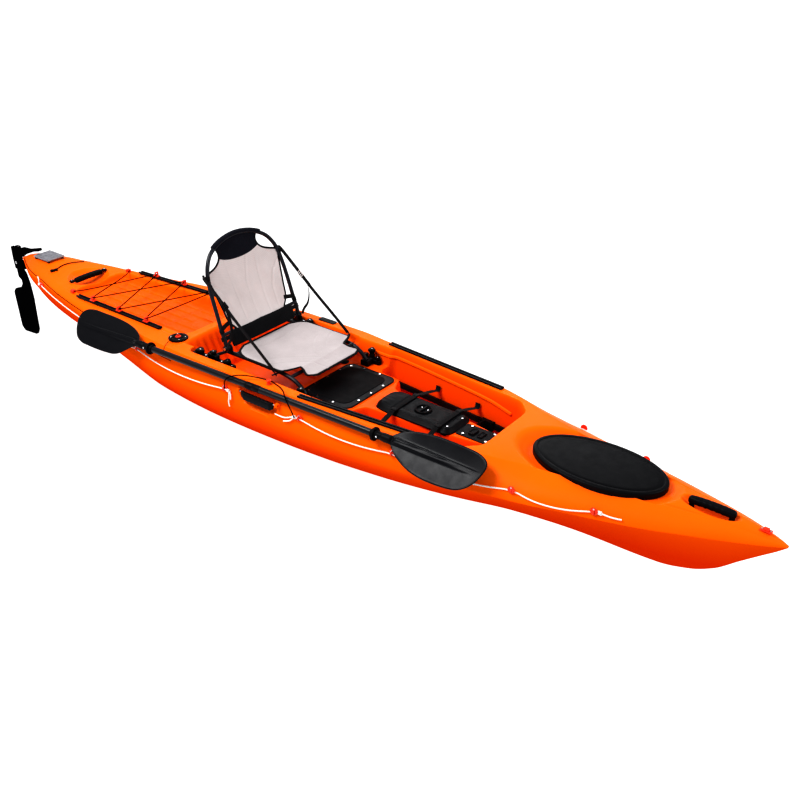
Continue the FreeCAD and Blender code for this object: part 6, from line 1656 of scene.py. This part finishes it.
# hold-down webbing over the pod, its ends turned up the cockpit walls
for k, x in enumerate((2838.0, 3068.0)):
    wall = 264 - 68 * (x - 2560) / 710.0 + 0.12 * (240 - 95.0) - 6.0
    pts = [(wall - 0.4, 261.5), (wall - 1.0, 252), (wall - 4, 243), (wall - 14, 241.0), (wall - 40, 252), (112, 277.5), (96, 284.8), (84, 287.0), (60, 288.6), (30, 289.6), (0, 289.8)]
    full = pts + [(-y, z) for y, z in reversed(pts[:-1])]
    mid = crom([((x + 5 * math.sin(i * 0.35 + k)) / 1000 - OXM, y / 1000.0, z / 1000.0) if False else (x / 1000 - OXM, y / 1000.0, z / 1000.0) for i, (y, z) in enumerate(full)], 6, closed=False)
    nrm = []
    for i in range(len(mid)):
        t = (mid[min(i + 1, len(mid) - 1)] - mid[max(i - 1, 0)]).normalized()
        nn = Vector((1, 0, 0)).cross(t)
        nrm.append(nn if nn.z >= -0.2 or abs(nn.z) > 0.99 else nn)
    w = sweep("pod_strap_%d" % k, mid, nrm, flat(0.025, 0.0018), mat="strap")
    finish_piece(w, "hull", MAT["strap"], angle=50)
    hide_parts("pod_straps")
    for sg in (-1, 1):
        bx = loft("strap_slide_%d_%s" % (k, "p" if sg > 0 else "s"),
                  [[(x / 1000 - OXM + 0.0155 * math.copysign(abs(c) ** .4, c) * q, sg * 0.078 + 0.010 * math.copysign(abs(s) ** .4, s) * q, 0.2868 + h) for c, s in [(math.cos(2 * math.pi * j / 32), math.sin(2 * math.pi * j / 32)) for j in range(32)]]
                   for q, h in ((0.94, 0.0), (1.0, 0.0008), (1.0, 0.0030), (0.93, 0.0040), (0.3, 0.0043))])
        finish_piece(bx, "hull", "black", angle=45)


# ---------------------------------------------------------------- console, pads, brackets, rod plugs and small fittings
def rr_ring(cx, cy, a, b, r, z, n=12):
    """Rounded rectangle, half sizes a by b in millimetres."""
    out = []
    for sx, sy, t0 in ((1, 1, 0), (-1, 1, 90), (-1, -1, 180), (1, -1, 270)):
        for k in range(n + 1):
            t = math.radians(t0 + 90.0 * k / n)
            out.append(((cx + sx * (a - r) + r * math.cos(t)) / 1000 - OXM, (cy + sy * (b - r) + r * math.sin(t)) / 1000, z / 1000))
    return out


CZ = 262.4
pn = loft("console_mat", [rr_ring(2512, 0, 114, 152, 44, CZ + 4.1), rr_ring(2512, 0, 114, 152, 44, CZ + 5.0), rr_ring(2512, 0, 113.2, 151.2, 43.2, CZ + 5.8), rr_ring(2512, 0, 112, 150, 42, CZ + 6.1),
                          rr_ring(2512, 0, 108, 146, 38, CZ + 6.0), rr_ring(2512, 0, 60, 80, 20, CZ + 5.7), rr_ring(2512, 0, 4, 6, 1, CZ + 5.6)])
finish_piece(pn, "hull", "rubber", angle=50)
# frame of dots: a raised bead round the plate
bead = loft("console_edge_bead", [rr_ring(2518, 0, 139.2, 177.2, 39.2, CZ + 3.9), rr_ring(2518, 0, 139.2, 177.2, 39.2, CZ + 4.8), rr_ring(2518, 0, 138.6, 176.6, 38.6, CZ + 5.3), rr_ring(2518, 0, 137.2, 175.2, 37.2, CZ + 5.3),
                                  rr_ring(2518, 0, 136.6, 174.6, 36.6, CZ + 4.8), rr_ring(2518, 0, 136.6, 174.6, 36.6, CZ + 3.9)], cap=False)
finish_piece(bead, "hull", "black", angle=50)
# twin lugs moulded in the front plate
for k, (cx, cy) in enumerate(((3196, 0), (3238, 0))):
    b = loft("front_plate_boss_%d" % k, [rr_ring(cx, cy, 15 - 2 * k, 24, 8, CZ + 4.0), rr_ring(cx, cy, 15 - 2 * k, 24, 8, CZ + 9 - 2 * k), rr_ring(cx, cy, 14 - 2 * k, 23, 7, CZ + 10.5 - 2 * k), rr_ring(cx, cy, 12 - 2 * k, 21, 6, CZ + 11.0 - 2 * k), rr_ring(cx, cy, 9 - k, 17, 4, CZ + 8.5 - 2 * k), rr_ring(cx, cy, 3, 5, 1, CZ + 8.4 - 2 * k)])
    finish_piece(b, "hull", "black", angle=50)


# deck pad eyes: a round moulded boss on the side with a screw above and a loop below
def half_y(x, z):
    return side_half(x, z)


PADX = [450, 1490, 2115, 2560, 3040, 3554, 3865]
pad_objs = []
src = N["deck_pad_eyes"]
mw = src.matrix_world
vv = [mw @ q.co for q in src.data.vertices]
for x in PADX:
    for sg in (1, -1):
        near = [q for q in vv if abs((q.x + OXM) * 1000 - x) < 30 and q.y * sg > 0]
        c = sum(near, Vector()) / len(near)
        # plan angle from the block's own corners
        fx = [q for q in near if q.z > 0.281 + 0.012]
        far = max(near, key=lambda q: q.y * sg)
        lo = min(near, key=lambda q: q.x)
        outer_pts = sorted(near, key=lambda q: -q.y * sg)[:max(4, len(near) // 4)]
        a = min(outer_pts, key=lambda q: q.x)
        b = max(outer_pts, key=lambda q: q.x)
        t = (b - a)
        t.z = 0
        t = t.normalized() if t.length > 0.006 else Vector((1, 0, 0))
        nrm = Vector((-t.y, t.x, 0)) * (1 if (-t.y * 0 + t.x) * sg > 0 else -1)
        out_max = max(q.dot(nrm) for q in near)
        in_min = min(q.dot(nrm) for q in near)
        cc = Vector((c.x, c.y, 0.281))
        cc += nrm * (in_min - cc.dot(nrm))
        depth = out_max - in_min
        tag = "%s_%d" % ("p" if sg > 0 else "s", PADX.index(x))
        base = turned("pad_eye_base_" + tag, [(1e-5, -0.0006), (0.0150, -0.0006), (0.0158, 0.0006), (0.0158, 0.0030), (0.0146, 0.0048), (0.0112, 0.0056), (0.0098, 0.0048), (0.0060, 0.0044), (1e-5, 0.0044)], cc + Vector((0, 0, 0.003)), nrm, 44)
        finish_piece(base, "hull", "red", angle=45)
        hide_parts("deck_pad_eyes")
        R_ = []
        for i in range(25):
            q = math.pi * i / 24
            ctr = cc + Vector((0, 0, -0.0)) + Vector((0, 0, 1)) * (0.0095 * math.cos(q)) + nrm * (0.0035 + (depth - 0.0065) * math.sin(q) ** 0.7)
            tg = (Vector((0, 0, -1)) * (0.0095 * math.sin(q)) + nrm * ((depth - 0.0065) * math.cos(q) + 1e-6)).normalized()
            sd = t
            up = tg.cross(sd)
            R_.append([ctr + sd * (0.0046 * math.cos(w)) + up * (0.0026 * math.sin(w)) for w in [2 * math.pi * j / 14 for j in range(14)]])
        lp = loft("pad_eye_loop_" + tag, R_)
        finish_piece(lp, "hull", "red")
        sc = turned("pad_eye_screw_" + tag, [(1e-5, 0.0), (0.0034, 0.0), (0.0034, 0.0010), (0.0024, 0.0018), (0.0009, 0.0019), (0.0006, 0.0012), (1e-5, 0.0012)], cc + nrm * 0.0048 + Vector((0, 0, 0.0135)), nrm, 24)
        finish_piece(sc, "hull", "steel", angle=40)

# rod-holder plugs: a red turned plug with a finger tab
for sg, nm in ((1, "port"), (-1, "stbd")):
    o = N["rod_holder_" + nm]
    pts = [o.matrix_world @ q.co for q in o.data.vertices]
    zt = max(q.z for q in pts)
    topv = [q for q in pts if q.z > zt - 0.0015]
    c = Vector((sum(q.x for q in topv) / len(topv), sum(q.y for q in topv) / len(topv), zt))
    ring = turned("rod_rim_" + nm, [(0.0255, -0.0035), (0.0255, 0.0004), (0.0275, 0.0018), (0.0310, 0.0024), (0.0420, 0.0016), (0.0465, -0.0004), (0.0468, -0.0030)], c, (0, 0, 1), 72)
    finish_piece(ring, "hull", "black", angle=50)
    cap = turned("rod_cap_" + nm, [(1e-5, -0.0020), (0.0250, -0.0024), (0.0252, 0.0002), (0.0238, 0.0020), (0.0200, 0.0026), (0.0150, 0.0024), (1e-5, 0.0022)], c, (0, 0, 1), 64)
    finish_piece(cap, "hull", "rubber", angle=50)
    plug = turned("rod_plug_" + nm, [(0.0140, 0.0020), (0.0145, 0.0030), (0.0145, 0.0048), (0.0130, 0.0060), (0.0085, 0.0064), (0.0080, 0.0056), (1e-5, 0.0054)], c, (0, 0, 1), 48)
    finish_piece(plug, "hull", "red", angle=50)
    tab = loft("rod_plug_tab_" + nm, [[(c.x + lx * 0.0026 * q, c.y + ly * 0.0105 * q, c.z + 0.0052 + h) for lx, ly in [(math.copysign(abs(math.cos(u)) ** .5, math.cos(u)), math.copysign(abs(math.sin(u)) ** .7, math.sin(u))) for u in [2 * math.pi * j / 28 for j in range(28)]]]
                                        for q, h in ((1, 0), (1.0, 0.005), (0.8, 0.0066), (0.2, 0.0070))])
    finish_piece(tab, "hull", "red", angle=50)
    for k, a in enumerate((35, 145, 215, 325)):
        q = c + Vector((0.0345 * math.cos(math.radians(a)), 0.0345 * math.sin(math.radians(a)), 0.0014))
        sc = turned("rod_screw_%s_%d" % (nm, k), prof_round(0.0034, 0.0, 0.0020, 0.0008), q, (0, 0, 1), 20)
        finish_piece(sc, "hull", "steel", angle=40)

# brackets beside the seat: three-lobed clamp knobs, studs and side plates
def knob(name, c, r, h, axis=(0, 0, 1), body="hull", lobes=3):
    o = turned(name, [(1e-5, 0), (r * 0.55, 0), (r * 0.60, h * 0.22), (r * 0.92, h * 0.30), (r, h * 0.42), (r, h * 0.78), (r * 0.90, h * 0.94), (r * 0.60, h), (r * 0.30, h * 0.97), (r * 0.26, h * 0.90), (1e-5, h * 0.90)],
               c, axis, 72, wobble=lambda a, rr, hh: (0.15 * math.cos(lobes * a) if rr > r * 0.7 else 0))
    finish_piece(o, body, "black", angle=45)
    s = turned(name + "_stud", prof_round(r * 0.20, 0.0, 0.0024, 0.0008), Vector(c) + Vector(axis).normalized() * (h * 0.88), axis, 20)
    finish_piece(s, body, "steel", angle=40)
    return o


def bplate(name, x0, x1, y0, y1, z0, z1, r, body="hull", mat="black"):
    """Cast plate with rounded corners and a softened top."""
    cx, cy, a, b = (x0 + x1) / 2, (y0 + y1) / 2, (x1 - x0) / 2, (y1 - y0) / 2
    o = loft(name, [rr_ring(cx, cy, a - 0.6, b - 0.6, r, z0), rr_ring(cx, cy, a, b, r, z0 + 1.0), rr_ring(cx, cy, a, b, r, z1 - 2.5), rr_ring(cx, cy, a - 0.8, b - 0.8, r * .9, z1 - 0.9), rr_ring(cx, cy, a - 2.4, b - 2.4, r * .8, z1),
                    rr_ring(cx, cy, max(1, a - 5.5), max(1, b - 5.5), max(0.3, r * .5), z1 - 0.5), rr_ring(cx, cy, max(.5, a * .3), max(.5, b * .3), 0.2, z1 - 0.5)])
    finish_piece(o, body, mat, angle=50)
    return o


for sg, nm in ((1, "port"), (-1, "stbd")):
    ya, yb = (264, 295) if sg > 0 else (-295, -264)
    bplate("rear_bracket_rail_" + nm, 1806, 2076, ya, yb, 315.6, 334.5, 12)
    bplate("rear_bracket_block_" + nm, 1908, 1972, ya + 3, yb - 3, 333, 358, 9)
    knob("rear_bracket_knob_a_" + nm, ((1850) / 1000 - OXM, sg * 0.2795, 0.334), 0.0210, 0.024)
    knob("rear_bracket_knob_b_" + nm, ((2030) / 1000 - OXM, sg * 0.2795, 0.334), 0.0180, 0.020)
    knob("rear_bracket_knob_c_" + nm, ((1940) / 1000 - OXM, sg * 0.2795, 0.3575), 0.0150, 0.016, lobes=5)
    for k, x in enumerate((1822, 1886, 1990, 2062)):
        sc = turned("rear_bracket_bolt_%s_%d" % (nm, k), prof_round(0.0045, 0.0, 0.0032, 0.0010), (x / 1000 - OXM, sg * 0.2795, 0.3340), (0, 0, 1), 6)
        finish_piece(sc, "hull", "steel", angle=30)
    # front corner: a foot plate, a vertical clamp with a cross knob and a finned block
    ya, yb = (236, 259) if sg > 0 else (-259, -236)
    bplate("front_bracket_foot_" + nm, 2396, 2504, ya, yb, 262.4, 284, 9)
    knob("front_bracket_knob_a_" + nm, ((2452) / 1000 - OXM, sg * 0.2470, 0.3170), 0.0165, 0.018)
    knob("front_bracket_knob_b_" + nm, ((2486) / 1000 - OXM, sg * 0.2470, 0.2835), 0.0140, 0.016, lobes=5)
    knob("front_bracket_knob_c_" + nm, ((2414) / 1000 - OXM, sg * 0.2470, 0.2835), 0.0140, 0.016, lobes=5)
    col = turned("front_bracket_post_" + nm, [(0.0150, 0), (0.0150, 0.004), (0.0118, 0.007), (0.0118, 0.014), (0.0132, 0.016), (0.0132, 0.021), (0.0118, 0.023), (0.0118, 0.030), (0.0140, 0.033)],
                 (2452 / 1000 - OXM, sg * 0.2470, 0.2835), (0, 0, 1), 40)
    finish_piece(col, "hull", "black", angle=45)
    if True:
        ya, yb = (197, 231) if sg > 0 else (-231, -197)
        bplate("front_bracket_clamp_" + nm, 2426, 2467, ya, yb, 262.6, 288.5, 7)

# black round drain fitting on the console rim
dr = turned("console_drain", [(1e-5, 0), (0.0200, 0), (0.0206, 0.002), (0.0200, 0.0042), (0.0150, 0.0052), (0.0140, 0.0090), (0.0128, 0.0102), (0.0060, 0.0104), (0.0052, 0.0090), (1e-5, 0.0090)], (2349 / 1000 - OXM, 0.168, 0.2625), (0, 0, 1), 48)
finish_piece(dr, "hull", "rubber", angle=50)

# shock-cord toggle at the stern
def toggle(name, c, axis, L=0.042, r=0.0085):
    o = turned(name, [(1e-5, -L / 2), (r * .55, -L / 2 + .0008), (r * .92, -L / 2 + .004), (r, -L / 2 + .010), (r * .82, -.005), (r * .78, 0), (r * .82, .005), (r, L / 2 - .010), (r * .92, L / 2 - .004), (r * .55, L / 2 - .0008), (1e-5, L / 2)], c, axis, 32)
    finish_piece(o, "hull", "black")
    return o


e0, e1 = ROUTES["stern_bungee"][1][0], ROUTES["stern_bungee"][1][-1]
for nm, p, ax in (("stern_toggle", e0 if e0[0] < e1[0] else e1, (0.25, 1, 0)),):
    toggle(nm, Vector(p) + Vector((0, 0, 0.002)), ax)


# moulded ledge along the cockpit walls, laid on the wall itself
from mathutils.bvhtree import BVHTree
_dg = bpy.context.evaluated_depsgraph_get()
_tree = BVHTree.FromObject(hull, _dg)
for sg, nm in ((1, "port"), (-1, "stbd")):
    pts, nrm = [], []
    for i in range(90):
        x = 2452 + (3246 - 2452) * i / 89.0
        z = float(interp([(2440, 308), (2690, 306), (2890, 301), (3115, 291), (3250, 268)], x)) / 1000
        hit = _tree.ray_cast(Vector((x / 1000 - OXM, sg * 0.02, z)), Vector((0, sg, 0)), 0.5)
        if hit[0] is None or abs(hit[0].y) < 0.10:
            continue
        pts.append(Vector(hit[0]) + Vector((0, -sg * 0.0012, 0)))
        nrm.append(Vector((0, -sg, 0.25)))
    if len(pts) > 20:
        w = sweep("cockpit_ledge_" + nm, pts, nrm, oval(0.0085, 0.0042, 12), mat="hull")
        finish_piece(w, "hull", None)

# leash from each rod-holder plug to a small toggle
for sg, nm in ((1, "port"), (-1, "stbd")):
    o = N["rod_holder_" + nm]
    pts = [o.matrix_world @ q.co for q in o.data.vertices]
    zt = max(q.z for q in pts)
    tv = [q for q in pts if q.z > zt - 0.0015]
    c = Vector((sum(q.x for q in tv) / len(tv), sum(q.y for q in tv) / len(tv), zt))
    route = [(c.x, c.y + sg * 0.012, c.z + 0.0105), (c.x + 0.002, c.y + sg * 0.030, c.z + 0.014), (c.x + 0.004, c.y + sg * 0.052, c.z + 0.004), (c.x + 0.006, c.y + sg * 0.075, c.z - 0.002),
             (c.x + 0.008, c.y + sg * 0.094, c.z - 0.012), (c.x + 0.012, c.y + sg * 0.106, c.z - 0.034)]
    L = nurbs("rod_plug_leash_" + nm, route, 0.0013, "bungee", res=10)
    ln = curve_length(route)
    print("LEASH", nm, round(ln, 4))
    tg = toggle("rod_plug_toggle_" + nm, Vector(route[-1]) + Vector((0.002, sg * 0.002, -0.003)), (0.93, sg * -0.12, -0.34), L=0.034, r=0.0062)
